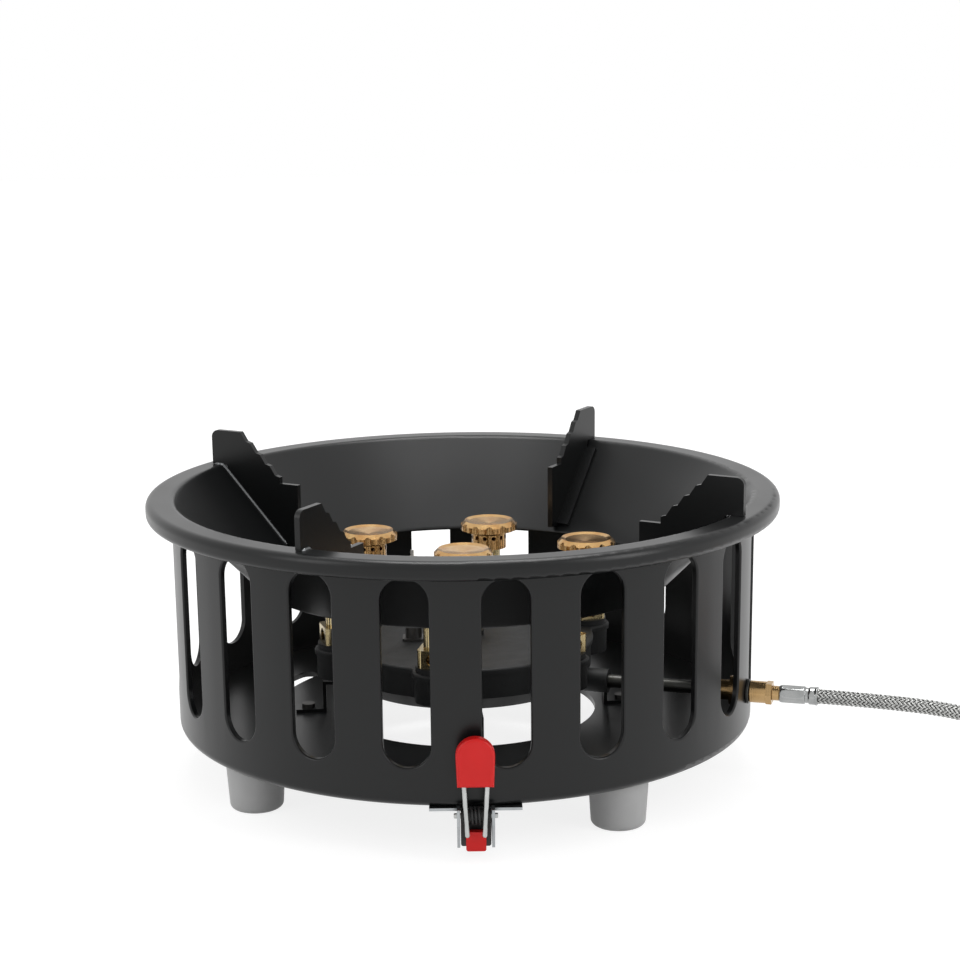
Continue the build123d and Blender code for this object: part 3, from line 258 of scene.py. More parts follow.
def turned(name, pale, deep, rough, pitch, relief, turn=(0.0, 0.0, 0.0)):
    """Turned metal: tool lines square to the axis, pitch millimetres apart, over a slow drift of tarnish.

    Real tool lines are about 0.1 mm apart, and are drawn as coarse as they need to show.
    """
    made, output = new_material(name)
    tree = made.node_tree
    place = add(tree, "ShaderNodeTexCoord").outputs["Object"]
    along = add(tree, "ShaderNodeMapping", {"Vector": place, "Rotation": turn})
    drift = add(
        tree, "ShaderNodeTexNoise", {"Vector": place, "Scale": 1.0 / (9.0 * MM), "Detail": 5.0}
    )
    lines = add(
        tree,
        "ShaderNodeTexWave",
        {"Vector": along.outputs["Vector"], "Scale": 0.314 / (pitch * MM), "Distortion": 0.6},
        bands_direction="Z",
    )
    tone = add(
        tree,
        "ShaderNodeMix",
        {"Factor": drift.outputs["Fac"], "A": linear(pale), "B": linear(deep)},
        data_type="RGBA",
    )
    gloss = add(
        tree,
        "ShaderNodeMapRange",
        {"Value": drift.outputs["Fac"], "To Min": rough * 0.75, "To Max": rough * 1.3},
    )
    bump = add(
        tree,
        "ShaderNodeBump",
        {"Strength": 1.0, "Distance": relief * MM, "Height": lines.outputs["Fac"]},
    )
    shader = add(
        tree,
        "ShaderNodeBsdfPrincipled",
        {
            "Base Color": tone.outputs["Result"],
            "Metallic": 1.0,
            "Roughness": gloss.outputs["Result"],
            "Normal": bump.outputs["Normal"],
        },
    )
    tree.links.new(shader.outputs["BSDF"], output.inputs["Surface"])
    return made


def braided(name, wires):
    """Drawn stainless wire: bright strands, ridged by their wires, with painted shade where one dips under
    the crossing strands.
    """
    made, output = new_material(name)
    tree = made.node_tree
    strand = add(tree, "ShaderNodeUVMap", uv_map="strand")
    axes = add(tree, "ShaderNodeSeparateXYZ", {"Vector": strand.outputs["UV"]})
    count = add(
        tree, "ShaderNodeMath", {0: axes.outputs["X"], 1: wires * 2.0 * pi}, operation="MULTIPLY"
    )
    ridge = add(tree, "ShaderNodeMath", {0: count.outputs["Value"]}, operation="COSINE")
    place = add(tree, "ShaderNodeTexCoord").outputs["Object"]
    drift = add(
        tree, "ShaderNodeTexNoise", {"Vector": place, "Scale": 1.0 / (4.0 * MM), "Detail": 3.0}
    )
    tone = add(
        tree,
        "ShaderNodeMix",
        {"Factor": drift.outputs["Fac"], "A": linear("dadad8"), "B": linear("b4b5b3")},
        data_type="RGBA",
    )
    # Painted shade: a strand darkens towards 464645 where it dips under the crossing strands
    under_shade_share = add(
        tree,
        "ShaderNodeMapRange",
        {
            "Value": axes.outputs["Y"],
            "From Min": 0.15,
            "From Max": 0.75,
            "To Min": 0.85,
            "To Max": 0.0,
        },
    )
    painted_under_shade = add(
        tree,
        "ShaderNodeMix",
        {"Factor": under_shade_share.outputs["Result"], "A": tone.outputs["Result"], "B": linear("464645")},
        data_type="RGBA",
    )
    bump = add(
        tree,
        "ShaderNodeBump",
        {"Strength": 0.8, "Distance": 0.06 * MM, "Height": ridge.outputs["Value"]},
    )
    shader = add(
        tree,
        "ShaderNodeBsdfPrincipled",
        {
            "Base Color": painted_under_shade.outputs["Result"],
            "Metallic": 1.0,
            "Roughness": 0.32,
            "Normal": bump.outputs["Normal"],
        },
    )
    tree.links.new(shader.outputs["BSDF"], output.inputs["Surface"])
    return made


def put_on(piece, finish):
    """The finish becomes the piece's only material."""
    piece.data.materials.clear()
    piece.data.materials.append(finish)


def fill_mesh(name, points, faces):
    """A mesh object at the origin from an array of points and face arrays, each with rows of one length."""
    made = bpy.data.meshes.new(name)
    made.vertices.add(len(points))
    made.vertices.foreach_set("co", np.asarray(points, dtype=np.float32).ravel())
    corners = np.concatenate([np.asarray(f, dtype=np.int32).ravel() for f in faces])
    sizes = np.concatenate([np.full(len(f), f.shape[1], dtype=np.int32) for f in faces])
    starts = np.concatenate(([0], np.cumsum(sizes)[:-1])).astype(np.int32)
    made.loops.add(len(corners))
    made.loops.foreach_set("vertex_index", corners)
    made.polygons.add(len(sizes))
    made.polygons.foreach_set("loop_start", starts)
    made.polygons.foreach_set("use_smooth", np.ones(len(sizes), dtype=bool))
    made.update(calc_edges=True)
    made.validate()
    piece = bpy.data.objects.new(name, made)
    bpy.context.scene.collection.objects.link(piece)
    return piece


def tubes_faces(tubes, stations, around):
    """Quads along each tube of stations by around points, and a cap at each tube's two ends."""
    t, s, a = np.meshgrid(np.arange(tubes), np.arange(stations - 1), np.arange(around), indexing="ij")
    first = (t * stations + s) * around
    b = (a + 1) % around
    quads = np.stack((first + a, first + b, first + around + b, first + around + a), axis=-1)
    ring = np.arange(around)
    starts = np.arange(tubes)[:, None] * stations * around
    near = starts + ring[::-1][None, :]
    far = starts + (stations - 1) * around + ring[None, :]
    return [quads.reshape(-1, 4), near, far]


def ring_faces(rows, columns):
    """Quads of a grid that closes both ways, as on a turned piece with a bore."""
    r, c = np.meshgrid(np.arange(rows), np.arange(columns), indexing="ij")
    nr = (r + 1) % rows
    nc = (c + 1) % columns
    here = r * columns
    there = nr * columns
    quads = np.stack((here + c, there + c, there + nc, here + nc), axis=-1)
    return [quads.reshape(-1, 4)]


def coil_reach(turn):
    """Radius of the coil at a turn in degrees: a pitch less for each whole turn from either end inwards."""
    half = COIL_TURN / 2
    return COIL_RADIUS - COIL_PITCH * (half - np.abs(turn - half)) / 360.0


def hose_points():
    """Control points of the hose in metres: the run, the coil's turns as a flat spiral, and the tail."""
    level = np.array(HOSE_RUN)
    run = RUN * level[:, :1] + UP * level[:, 1:]
    turn = np.arange(0.0, COIL_TURN + COIL_STEP / 2, COIL_STEP)
    turn = turn * COIL_TURN / turn[-1]
    half = COIL_TURN / 2
    reach = coil_reach(turn)
    t = np.radians(turn)
    spoke = np.sin(t)[:, None] * RUN - np.cos(t)[:, None] * LEFT
    rise = np.clip((turn - half + CLIMB_TURN) / (2 * CLIMB_TURN), 0.0, 1.0)
    rise = rise * rise * (3.0 - 2.0 * rise) * COIL_PITCH
    centre = RUN * COIL_START + LEFT * COIL_RADIUS
    coil = centre + spoke * reach[:, None] + UP * (LYING_HEIGHT + rise)[:, None]
    tail = coil[-1] + np.array(((0.0, 0.5, 0.0), (0.0, 1.0, 0.0))) * COIL_TAIL
    return np.concatenate((run, coil, tail)) * MM


def spline_line(name, points):
    """Points along one smooth spline through the control points' hull, read from an unbevelled curve."""
    curve = bpy.data.curves.new(name, "CURVE")
    curve.dimensions = "3D"
    curve.resolution_u = 12
    spline = curve.splines.new("NURBS")
    spline.points.add(len(points) - 1)
    spline.points.foreach_set("co", np.column_stack((points, np.ones(len(points)))).ravel())
    spline.order_u = 3
    spline.use_endpoint_u = True
    holder = bpy.data.objects.new(name, curve)
    bpy.context.scene.collection.objects.link(holder)
    bpy.context.view_layer.update()
    flat = bpy.data.meshes.new_from_object(holder)
    line = np.empty(len(flat.vertices) * 3)
    flat.vertices.foreach_get("co", line)
    bpy.data.objects.remove(holder)
    bpy.data.curves.remove(curve)
    bpy.data.meshes.remove(flat)
    return line.reshape(-1, 3)


def spaced(line, step):
    """The line at even steps of its own length."""
    gone = np.concatenate(([0.0], np.cumsum(np.linalg.norm(np.diff(line, axis=0), axis=1))))
    count = int(round(gone[-1] / step)) + 1
    at = np.linspace(0.0, gone[-1], count)
    return at, np.stack([np.interp(at, gone, line[:, i]) for i in range(3)], axis=1)


def line_frame(line):
    """Tangent, side and lift along a line that never points straight up."""
    tangent = np.gradient(line, axis=0)
    tangent /= np.linalg.norm(tangent, axis=1)[:, None]
    side = np.cross(tangent, UP)
    side /= np.linalg.norm(side, axis=1)[:, None]
    return tangent, side, np.cross(side, tangent)


def braid_strands(line, at, hand, hose):
    """Strands of one hand: a helix on the hose whose radius goes over two and under two by a cosine."""
    tangent, side, lift = line_frame(line)
    count = hose.strands
    lay = 2.0 * pi / hose.lay
    k = np.arange(count)[:, None]
    theta = hand * lay * at[None, :] + 2.0 * pi * k / count
    crossing = 2.0 * lay * at[None, :] * count / (2.0 * pi)
    weave = hand * np.cos(0.5 * pi * (2.0 * k + hand * crossing + 0.5))
    crown = 0.5 * hose.diameter - hose.strand_thick
    radius = crown - hose.weave_depth * (1.0 - weave)
    outward = np.cos(theta)[..., None] * side + np.sin(theta)[..., None] * lift
    round_way = -np.sin(theta)[..., None] * side + np.cos(theta)[..., None] * lift
    slope = np.arctan2(crown * lay, 1.0)
    across = cos(slope) * round_way - hand * sin(slope) * tangent
    wide = STRAND_SECTION[:, 0] * hose.strand_width
    high = STRAND_SECTION[:, 1] * hose.strand_thick
    middle = line + outward * radius[..., None]
    points = (
        middle[:, :, None, :]
        + across[:, :, None, :] * wide[None, None, :, None]
        + outward[:, :, None, :] * high[None, None, :, None]
    )
    return points.reshape(-1, 3), tubes_faces(count, len(at), len(wide)), weave


def strand_map(piece, weave):
    """A UV map whose first axis crosses a strand and whose second is 1 on top and 0 where it dips."""
    across = STRAND_SECTION[:, 0] + 0.5
    per_ring = len(across)
    mesh = piece.data
    corner = np.empty(len(mesh.loops), dtype=np.int32)
    mesh.loops.foreach_get("vertex_index", corner)
    u = across[corner % per_ring]
    v = 0.5 + 0.5 * weave.ravel()[corner // per_ring]
    layer = mesh.uv_layers.new(name="strand")
    layer.data.foreach_set("uv", np.column_stack((u, v)).astype(np.float32).ravel())


def crimped(name, origin, axis, profile, bore, flats, crimp, turn=0.0):
    """A ferrule turned from a profile of distances and radii, bored, and pressed to flats at its crimp."""
    axis = np.asarray(axis, dtype=float)
    side = np.cross(axis, UP)
    side /= np.linalg.norm(side)
    lift = np.cross(side, axis)
    profile = np.asarray(profile)
    along = np.linspace(profile[:-1, 0], profile[1:, 0], 7)[:-1].T.ravel()
    along = np.append(along, profile[-1, 0])
    outer = np.interp(along, profile[:, 0], profile[:, 1])
    angle = np.linspace(0.0, 2.0 * pi, FERRULE_SIDES, endpoint=False)
    sector = 2.0 * pi / flats
    off = (angle - turn + sector / 2) % sector - sector / 2
    low, high, depth = crimp
    ease = np.clip(np.minimum(along - low, high - along) / CRIMP_EASE, 0.0, 1.0)
    ease = ease * ease * (3.0 - 2.0 * ease)
    pressed = np.minimum(outer[:, None], (outer[:, None] - depth) / np.cos(off)[None, :])
    skin = outer[:, None] + (pressed - outer[:, None]) * ease[:, None]
    inner = np.full((2, len(angle)), bore)
    radius = np.concatenate((skin, inner)) * MM
    place = np.concatenate((along, along[[-1, 0]])) * MM
    points = (
        np.asarray(origin)
        + place[:, None, None] * axis
        + radius[..., None] * (np.cos(angle)[:, None] * side + np.sin(angle)[:, None] * lift)
    )
    piece = fill_mesh(name, points.reshape(-1, 3), ring_faces(len(place), len(angle)))
    piece.data.flip_normals()
    return piece


def band_reach(ray, flat, corner):
    """Distance along each ray from the centre to a rounded rectangle, by halving the range it is in."""
    low = np.zeros(len(ray))
    high = np.full(len(ray), np.sum(flat) + corner * 2.0)
    for _ in range(30):
        reach = (low + high) / 2
        beyond = np.maximum(np.abs(ray * reach[:, None]) - flat, 0.0)
        inside = np.hypot(beyond[:, 0], beyond[:, 1]) < corner
        low = np.where(inside, reach, low)
        high = np.where(inside, high, reach)
    return reach


def coil_strap(name):
    """A ribbed strap bent round the coil's two turns: a rounded band whose ends lap on its outer side."""
    spoke = sin(radians(TIE_TURN)) * RUN - cos(radians(TIE_TURN)) * LEFT
    first, second = coil_reach(np.array((TIE_TURN, TIE_TURN + 360.0)))
    centre = RUN * COIL_START + LEFT * COIL_RADIUS + spoke * ((first + second) / 2)
    centre = centre + UP * (LYING_HEIGHT + COIL_PITCH / 2)
    along = np.cross(spoke, UP)
    half_wide = abs(first - second) / 2 + TIE_CORNER
    half_high = COIL_PITCH / 2 + TIE_CORNER - 0.5
    corner = TIE_CORNER - 0.6
    angle = np.linspace(-0.25 * pi, 2.0 * pi + 0.05 * pi, STRAP_STATIONS)
    ray = np.column_stack((np.cos(angle), np.sin(angle)))
    reach = band_reach(ray, np.array((half_wide - corner, half_high - corner)), corner)
    lapped = np.clip((angle - 1.7 * pi) / (0.12 * pi), 0.0, 1.0)
    middle = ray * (reach + STRAP_LAP * (angle > 1.75 * pi) * lapped)[:, None]
    ridge = STRAP_RIB * np.cos(np.arange(STRAP_RIBS) * pi)
    rows = []
    for side in (1, -1):
        across = np.linspace(-STRAP_HALF_WIDTH, STRAP_HALF_WIDTH, STRAP_RIBS)[::side]
        edge = 1.0 - (np.abs(across) / STRAP_HALF_WIDTH) ** 8 * 0.5
        outward = side * (STRAP_HALF_SHEET * edge + ridge)
        rows.append(
            centre
            + (middle[:, None, 0] + ray[:, None, 0] * outward)[..., None] * spoke
            + (middle[:, None, 1] + ray[:, None, 1] * outward)[..., None] * UP
            + across[None, :, None] * along
        )
    points = np.concatenate(rows, axis=1) * MM
    return fill_mesh(name, points.reshape(-1, 3), tubes_faces(1, len(angle), points.shape[1]))


def seam_beads(name, radius):
    """Weld beads: a rippled circle carried along each support's seam, on the rim and down the bowl."""
    seam = np.array(SUPPORT_SEAM) * MM
    at, line = spaced(np.column_stack((seam, np.zeros(len(seam)))), WELD_STEP)
    azimuth = np.radians(SUPPORT_AZIMUTHS)
    level = np.zeros(len(azimuth))
    outward = np.column_stack((np.sin(azimuth), -np.cos(azimuth), level))
    face_way = np.column_stack((np.cos(azimuth), np.sin(azimuth), level))
    middle = (
        outward[:, None, :] * line[None, :, :1]
        + face_way[:, None, :] * SUPPORT_HALF_SHEET * MM
        + UP * line[None, :, 1:2]
    )
    tangent = np.gradient(middle, axis=1)
    tangent /= np.linalg.norm(tangent, axis=2)[..., None]
    lift = np.cross(face_way[:, None, :], tangent)
    angle = np.linspace(0.0, 2.0 * pi, WELD_SIDES, endpoint=False)
    ripple = radius * (1.0 + 0.05 * np.cos(2.0 * pi * at / WELD_RIPPLE))
    ends = np.clip(np.minimum(at, at[-1] - at) / WELD_TAPER, 0.25, 1.0)
    points = middle[:, :, None, :] + (ripple * ends)[None, :, None, None] * (
        np.cos(angle)[:, None] * face_way[:, None, None, :]
        + np.sin(angle)[:, None] * lift[:, :, None, :]
    )
    return fill_mesh(name, points.reshape(-1, 3), tubes_faces(len(azimuth), len(at), len(angle)))


class StoveHose(bpy.types.PropertyGroup):
    """Sizes of the braided hose."""

    diameter: FloatProperty(
        name="Diameter",
        description="Outside of the braid",
        default=0.00675,
        subtype="DISTANCE",
        unit="LENGTH",
        precision=5,
    )
    length: FloatProperty(
        name="Length",
        description="Length of the whole hose",
        default=0.7326,
        subtype="DISTANCE",
        unit="LENGTH",
    )
    strands: IntProperty(
        name="Strands", description="Strands of each hand, a multiple of four", default=12
    )
    lay: FloatProperty(
        name="Lay", description="Length in which a strand goes once round", default=0.024, unit="LENGTH"
    )
    strand_width: FloatProperty(
        name="Strand Width",
        description="Width of a flat strand",
        default=0.00092,
        unit="LENGTH",
        precision=5,
    )
    strand_thick: FloatProperty(
        name="Strand Height",
        description="Crown of a flat strand",
        default=0.00022,
        unit="LENGTH",
        precision=5,
    )
    weave_depth: FloatProperty(
        name="Weave Depth",
        description="How far a strand dips under",
        default=0.0003,
        unit="LENGTH",
        precision=5,
    )
    wires: IntProperty(name="Wires", description="Wires side by side in a strand", default=5)


class StoveWeld(bpy.types.PropertyGroup):
    """Size of the weld beads at the pot supports."""

    radius: FloatProperty(
        name="Bead",
        description="Radius of a weld bead",
        default=0.001,
        subtype="DISTANCE",
        unit="LENGTH",
        precision=5,
    )


class StoveLook(bpy.types.PropertyGroup):
    """Colours of the finishes."""

    coat_pale: StringProperty(
        name="Coat Pale", description="Lighter tone of the powder coat, sRGB hex", default="0d0e0f"
    )
    coat_deep: StringProperty(
        name="Coat Deep", description="Darker tone of the powder coat, sRGB hex", default="080909"
    )
    red: StringProperty(name="Red", description="Grip and button, sRGB hex", default="c50d0b")
    foot: StringProperty(name="Foot", description="Feet, sRGB hex", default="a8a8a8")
    brass: StringProperty(name="Brass", description="Turned brass, sRGB hex", default="dcc496")


class StoveStage(bpy.types.PropertyGroup):
    """Floor and camera."""

    floor_size: FloatProperty(
        name="Floor", description="Side of the floor", default=8.0, unit="LENGTH"
    )
    distance: FloatProperty(
        name="Distance", description="Camera to the stove's middle", default=1.0, unit="LENGTH"
    )
    elevation: FloatProperty(
        name="Elevation",
        description="Camera above the horizon",
        default=radians(14.95),
        subtype="ANGLE",
    )
    roll: FloatProperty(
        name="Roll", description="Turn about the view", default=radians(-0.77), subtype="ANGLE"
    )
    lens: FloatProperty(name="Lens", description="Focal length in millimetres", default=81.9)
    shift: FloatVectorProperty(
        name="Shift",
        description="Move of the frame in its own widths",
        size=2,
        default=(0.0167, 0.1315),
    )
    target: FloatVectorProperty(
        name="Target",
        description="Point that the camera looks at",
        size=3,
        default=(0.0, 0.0, 0.072),
        subtype="XYZ",
    )


class STOVE_OT_hose(bpy.types.Operator):
    """Makes the braided hose with its liner"""

    bl_idname = "stove.hose"
    bl_label = "Braided Hose"

    def execute(self, context):
        hose = context.scene.stove_hose
        line = spline_line("hose_route", hose_points())
        at, path = spaced(line, STRAND_STEP)
        pieces = []
        for name, hand in (("hose_braid", 1.0), ("hose_braid_left", -1.0)):
            points, faces, weave = braid_strands(path, at, hand, hose)
            piece = fill_mesh(name, points, faces)
            strand_map(piece, weave)
            put_on(piece, bpy.data.materials["stainless_braid"])
            pieces.append(piece)
        near, core = spaced(line, LINER_STEP)
        tangent, side, lift = line_frame(core)
        angle = np.linspace(0.0, 2.0 * pi, LINER_SIDES, endpoint=False)
        radius = 0.5 * hose.diameter - hose.strand_thick * 1.6 - hose.weave_depth * 2.0
        skin = core[:, None, :] + radius * (
            np.cos(angle)[None, :, None] * side[:, None, :]
            + np.sin(angle)[None, :, None] * lift[:, None, :]
        )
        liner = fill_mesh("hose_liner", skin.reshape(-1, 3), tubes_faces(1, len(near), len(angle)))
        put_on(liner, bpy.data.materials["rubber_liner"])
        pieces.append(liner)
        braid, other, liner = pieces
        for piece in pieces:
            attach(piece, "stove")
        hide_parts("hose_run", "hose_coil")
        far = [nodes[n] for n in ("valve_body", "valve_seal", "valve_spindle", "valve_knob")]
        far += [bpy.data.objects[n] for n in ("valve_crimped_ferrule", "woven_coil_strap")]
        return {"FINISHED"}


class STOVE_OT_ferrules(bpy.types.Operator):
    """Makes the crimped ferrules at the hose's two ends"""

    bl_idname = "stove.ferrules"
    bl_label = "Crimped Ferrules"

    def execute(self, context):
        profile = np.array(FERRULE_PROFILE)
        start = UP * HOSE_RUN[0][1] * MM
        near = crimped(
            "crimped_ferrule", start, RUN, profile, FERRULE_BORE, FERRULE_FLATS, NEAR_CRIMP, NEAR_TURN
        )
        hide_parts("hose_ferrule")
        low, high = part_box("valve_ferrule")
        origin = np.array(((low[0] + high[0]) / 2, low[1], (low[2] + high[2]) / 2))
        place = (high[1] - low[1]) / MM - (profile[:, 0] - profile[0, 0]) * FAR_SHARE
        far_profile = np.column_stack((place, np.minimum(profile[:, 1], FAR_RADIUS)))[::-1]
        along = (0.0, 1.0, 0.0)
        far = crimped(
            "valve_crimped_ferrule", origin, along, far_profile, FERRULE_BORE, FERRULE_FLATS, FAR_CRIMP
        )
        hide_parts("valve_ferrule")
        for piece in (near, far):
            put_on(piece, bpy.data.materials["crimped_steel"])
            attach(piece, "stove")
        return {"FINISHED"}


class STOVE_OT_strap(bpy.types.Operator):
    """Makes the woven strap round the coil, with its overlapped end"""

    bl_idname = "stove.strap"
    bl_label = "Coil Strap"

    def execute(self, context):
        strap = coil_strap("woven_coil_strap")
        put_on(strap, bpy.data.materials["woven_strap"])
        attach(strap, "stove")
        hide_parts("coil_tie")
        return {"FINISHED"}


class STOVE_OT_welds(bpy.types.Operator):
    """Makes the weld beads that join the pot supports to the rim and the bowl"""

    bl_idname = "stove.welds"
    bl_label = "Support Welds"

    def execute(self, context):
        beads = seam_beads("support_welds", context.scene.stove_weld.radius)
        # The beads' bright metallic grey is a painted highlight along the seams
        put_on(beads, bpy.data.materials["weld_painted_highlight"])
        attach(beads, "stove")
        return {"FINISHED"}


class STOVE_OT_finishes(bpy.types.Operator):
    """Makes the finishes and puts them on the frame's own nodes"""

    bl_idname = "stove.finishes"
    bl_label = "Finishes"

    def execute(self, context):
        look = context.scene.stove_look
        # Powder coat on pressed steel: satin charcoal, with a fine orange peel in its highlights
        powder = (look.coat_pale, look.coat_deep, 0.3, 40.0, 0.9, 0.012)
        coat = coated("powder_coat", *powder, ior=1.38)
        # The same coat on the bowl, where it flows over the rolled rim: an even highlight along the bend
        rim_coat = coated("powder_coat_rim", *powder, ior=1.38, soften=2.2)
        # Weld bead in a bright metallic grey instead of the black coat: a painted highlight that stands in
        # for the coat's gloss along each seam
        coated("weld_painted_highlight", "727374", "585a5b", 0.28, 5.0, 0.6, 0.006, metallic=1.0)
        # Moulded polypropylene: matt grey, with a fine grain from the mould
        foot = coated("moulded_foot", look.foot, "949494", 0.5, 14.0, 0.5, 0.02)
        # Zinc plate on sheet steel: grey metal with a cloudy bloom
        zinc = coated("zinc_plate", "b5b8ba", "8f9395", 0.34, 7.0, 0.4, 0.004, metallic=1.0)
        # Sand-cast iron with a black stove paint: rough and dull
        casting = coated("painted_casting", "0f1112", "090a0b", 0.6, 8.0, 0.7, 0.06, ior=1.42)
        # Turned brass: tool lines across a bright face and a warm drift of tarnish
        brass = turned("turned_brass", look.brass, "b8985c", 0.24, 0.8, 0.008)
        # The same on pieces that lie level, duller from handling
        side_brass = turned("turned_brass_level", "bea278", "a07e50", 0.22, 0.8, 0.008, LEVEL)
        # Brass that has been through a flame: straw and rose tints over the polish
        heated = coated("heated_brass", "d8ba86", "a87038", 0.2, 5.0, 0.5, 0.004, metallic=1.0)
        # Milled brass blocks and drawn tubes: paler than the turned pieces, with a bright face
        milled = coated("milled_brass", "d6c69c", "a08c60", 0.17, 4.0, 0.4, 0.003, metallic=1.0)
        # Drawn steel wire and pins: pale and bright, with soft highlights
        bright = coated("drawn_steel", "c9cac8", "a3a5a5", 0.28, 5.0, 0.3, 0.003, metallic=1.0)
        # Plain steel browned by the burner's heat: dark and half dull
        browned = coated("browned_steel", "6a6968", "474645", 0.42, 3.0, 0.3, 0.004, metallic=1.0)
        # Polished steel tube pressed in a crimping tool: sharp highlights, faint turning lines
        polished = turned("crimped_steel", "b2b3b2", "868888", 0.2, 1.2, 0.002, LEVEL)
        # ABS moulding: even colour, soft gloss, faint grain
        red = coated("red_moulding", look.red, "b80b0a", 0.38, 9.0, 0.4, 0.006, ior=1.38)
        # Glazed ceramic: cream, with a clear gloss over a slightly uneven body
        ceramic = coated("glazed_ceramic", "e6dcc6", "d6c7a8", 0.3, 4.0, 0.5, 0.006, ior=1.55, coat=0.3)
        # Blackened steel: dark grey metal with a low gloss
        dark = coated("blackened_steel", "4a4a49", "33332f", 0.38, 5.0, 0.3, 0.004, metallic=1.0)
        # Phosphated spring wire and sintered bush: black and nearly without gloss
        phosphate = coated("black_phosphate", "161616", "0e0e0e", 0.6, 3.0, 0.3, 0.004)
        # Nylon moulding: black with a soft sheen
        black = coated("black_moulding", "1c1c1d", "141415", 0.42, 8.0, 0.4, 0.008, ior=1.53)
        # Extruded rubber: black and matt
        rubber = coated("rubber_liner", "232323", "171717", 0.6, 6.0, 0.4, 0.01, ior=1.52)
        # Woven polyester strap: matt black, with a pale fuzz at grazing angles
        strap = coated("woven_strap", "222324", "151516", 0.75, 1.2, 0.6, 0.05, sheen=0.3)
        braided("stainless_braid", context.scene.stove_hose.wires)
        by_slot = {
            "charcoal_coat": coat,
            "grey_foot": foot,
            "sheet_steel": zinc,
            "dark_casting": casting,
            "brass": brass,
            "bright_steel": bright,
            "polished_steel": polished,
            "steel_braid": bright,
            "red_plastic": red,
            "cream_ceramic": ceramic,
            "dark_steel": dark,
            "black_plastic": black,
            "black_rubber": rubber,
            "black_strap": strap,
        }
        for name, slot in node_slots().items():
            put_on(nodes[name], by_slot[slot])
        by_name = (
            (side_brass, ("hose_nut", "hose_nipple", "inlet_fitting", "valve_body")),
            (rim_coat, ("wind_bowl",)),
            (phosphate, ("lever_spring", "lever_bush")),
            (browned, ("leg_screws", "foot_screws", "electrode_clip")),
            (heated, [name for name in nodes if name.startswith("burner_head")]),
            (milled, [name for name in nodes if name.startswith("mixing_tube")]),
        )
        for finish, names in by_name:
            for name in names:
                put_on(nodes[name], finish)
        return {"FINISHED"}


def node_slots():
    """Each node's material slot, as the record gives it."""
    return {part["node"]: part["material_slot"] for part in frame["record"]["subparts"]}


def area_light(name, place, target, size, power):
    """A soft rectangular lamp that faces the target."""
    lamp = bpy.data.lights.new(name, "AREA")
    lamp.shape = "RECTANGLE"
    lamp.size, lamp.size_y = size
    lamp.energy = power
    holder = bpy.data.objects.new(name, lamp)
    holder.location = place
    holder.rotation_mode = "QUATERNION"
    holder.rotation_quaternion = (Vector(target) - Vector(place)).to_track_quat("-Z", "Y")
    bpy.context.scene.collection.objects.link(holder)


def plain_white(tree):
    """1 where the eye, a mirror or glass sees the background, 0 where it only lights the stove."""
    seen = add(tree, "ShaderNodeLightPath").outputs
    through = add(
        tree,
        "ShaderNodeMath",
        {0: seen["Is Camera Ray"], 1: seen["Is Transmission Ray"]},
        operation="MAXIMUM",
    )
    either = add(
        tree,
        "ShaderNodeMath",
        {0: through.outputs["Value"], 1: seen["Is Glossy Ray"]},
        operation="MAXIMUM",
    )
    return either.outputs["Value"]


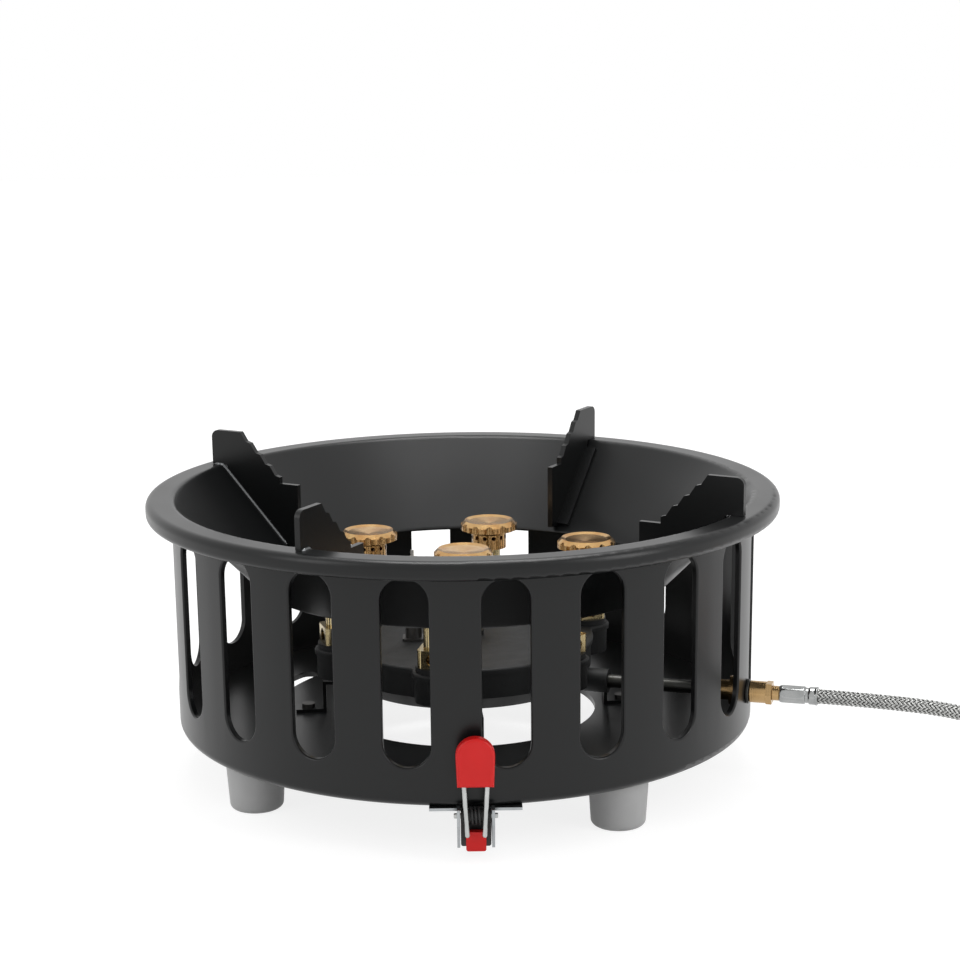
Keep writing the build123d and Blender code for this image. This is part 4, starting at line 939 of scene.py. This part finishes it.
class STOVE_OT_stage(bpy.types.Operator):
    """Makes the floor, the light and the camera"""

    bl_idname = "stove.stage"
    bl_label = "Stage"

    def execute(self, context):
        setup = context.scene.stove_stage
        half = setup.floor_size / 2
        corners = np.array(((-1.0, -1.0, 0.0), (1.0, -1.0, 0.0), (1.0, 1.0, 0.0), (-1.0, 1.0, 0.0))) * half
        floor = fill_mesh("floor", corners, [np.array([[0, 1, 2, 3]])])
        sheet, output = new_material("white_floor")
        tree = sheet.node_tree
        share = add(
            tree, "ShaderNodeMath", {0: plain_white(tree), 1: FLOOR_SHARE}, operation="MULTIPLY"
        )
        paper = add(tree, "ShaderNodeBsdfDiffuse", {"Color": linear("f4f4f4")})
        glow = add(tree, "ShaderNodeEmission", {"Color": WHITE, "Strength": FLOOR_GLOW})
        both = add(
            tree,
            "ShaderNodeMixShader",
            {0: share.outputs["Value"], 1: paper.outputs["BSDF"], 2: glow.outputs["Emission"]},
        )
        tree.links.new(both.outputs["Shader"], output.inputs["Surface"])
        put_on(floor, sheet)

        world = bpy.data.worlds.new("studio")
        context.scene.world = world
        world.use_nodes = True
        tree = world.node_tree
        tree.nodes.clear()
        # The studio's light is bright from both sides and overhead, and dim from behind the camera
        way = add(tree, "ShaderNodeTexCoord")
        axes = add(tree, "ShaderNodeSeparateXYZ", {"Vector": way.outputs["Generated"]})
        sides = add(tree, "ShaderNodeMath", {0: axes.outputs["X"]}, operation="ABSOLUTE")
        walls = add(
            tree,
            "ShaderNodeMapRange",
            {"Value": sides.outputs["Value"], "From Min": 0.2, "To Min": 0.3, "To Max": 0.85},
        )
        above = add(
            tree,
            "ShaderNodeMapRange",
            {"Value": axes.outputs["Z"], "From Min": 0.2, "To Min": 0.0, "To Max": 0.5},
        )
        behind = add(
            tree,
            "ShaderNodeMapRange",
            {"Value": axes.outputs["Y"], "From Min": 0.2, "To Min": 0.0, "To Max": 0.4},
        )
        sum_one = add(
            tree,
            "ShaderNodeMath",
            {0: walls.outputs["Result"], 1: above.outputs["Result"]},
            operation="ADD",
        )
        sum_two = add(
            tree,
            "ShaderNodeMath",
            {0: sum_one.outputs["Value"], 1: behind.outputs["Result"]},
            operation="ADD",
        )
        fill = add(
            tree, "ShaderNodeBackground", {"Color": WHITE, "Strength": sum_two.outputs["Value"]}
        )
        wall = add(tree, "ShaderNodeBackground", {"Color": WHITE, "Strength": 1.0})
        both = add(
            tree,
            "ShaderNodeMixShader",
            {0: plain_white(tree), 1: fill.outputs["Background"], 2: wall.outputs["Background"]},
        )
        end = add(tree, "ShaderNodeOutputWorld")
        tree.links.new(both.outputs["Shader"], end.inputs["Surface"])

        for name, place, size, power in LAMPS:
            area_light(name, place, setup.target, size, power)

        lens = bpy.data.cameras.new("photo_camera")
        lens.lens = setup.lens
        lens.sensor_width = 36.0
        lens.shift_x, lens.shift_y = setup.shift
        lens.clip_start = 0.01
        lens.clip_end = 50.0
        camera = bpy.data.objects.new("photo_camera", lens)
        context.scene.collection.objects.link(camera)
        back = Vector((0.0, -cos(setup.elevation), sin(setup.elevation)))
        camera.location = Vector(setup.target) + back * setup.distance
        look = (-back).to_track_quat("-Z", "Y").to_matrix().to_4x4()
        camera.rotation_mode = "QUATERNION"
        camera.rotation_quaternion = (look @ Matrix.Rotation(setup.roll, 4, "Z")).to_quaternion()
        context.scene.camera = camera
        context.scene.view_settings.view_transform = "Standard"
        return {"FINISHED"}


OPERATORS = (
    STOVE_OT_finishes,
    STOVE_OT_welds,
    STOVE_OT_ferrules,
    STOVE_OT_strap,
    STOVE_OT_hose,
    STOVE_OT_stage,
)


class STOVE_PT_panel(bpy.types.Panel):
    """Lists the stove's operators"""

    bl_idname = "STOVE_PT_panel"
    bl_label = "Camping Gas Stove"
    bl_space_type = "VIEW_3D"
    bl_region_type = "UI"
    bl_category = "Stove"

    def draw(self, context):
        for made in OPERATORS:
            self.layout.operator(made.bl_idname)


GROUPS = {
    "stove_hose": StoveHose,
    "stove_weld": StoveWeld,
    "stove_look": StoveLook,
    "stove_stage": StoveStage,
}
CLASSES = (*GROUPS.values(), *OPERATORS, STOVE_PT_panel)


def register():
    """Registers the classes and hangs their settings on the scene."""
    for made in CLASSES:
        bpy.utils.register_class(made)
    for name, group in GROUPS.items():
        setattr(bpy.types.Scene, name, PointerProperty(type=group))


def unregister():
    """Takes the settings and the classes away again."""
    for name in GROUPS:
        delattr(bpy.types.Scene, name)
    for made in reversed(CLASSES):
        bpy.utils.unregister_class(made)


def main():
    """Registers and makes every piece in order."""
    register()
    bpy.ops.stove.finishes()
    bpy.ops.stove.welds()
    bpy.ops.stove.ferrules()
    bpy.ops.stove.strap()
    bpy.ops.stove.hose()
    bpy.ops.stove.stage()


if __name__ == "__main__":
    main()
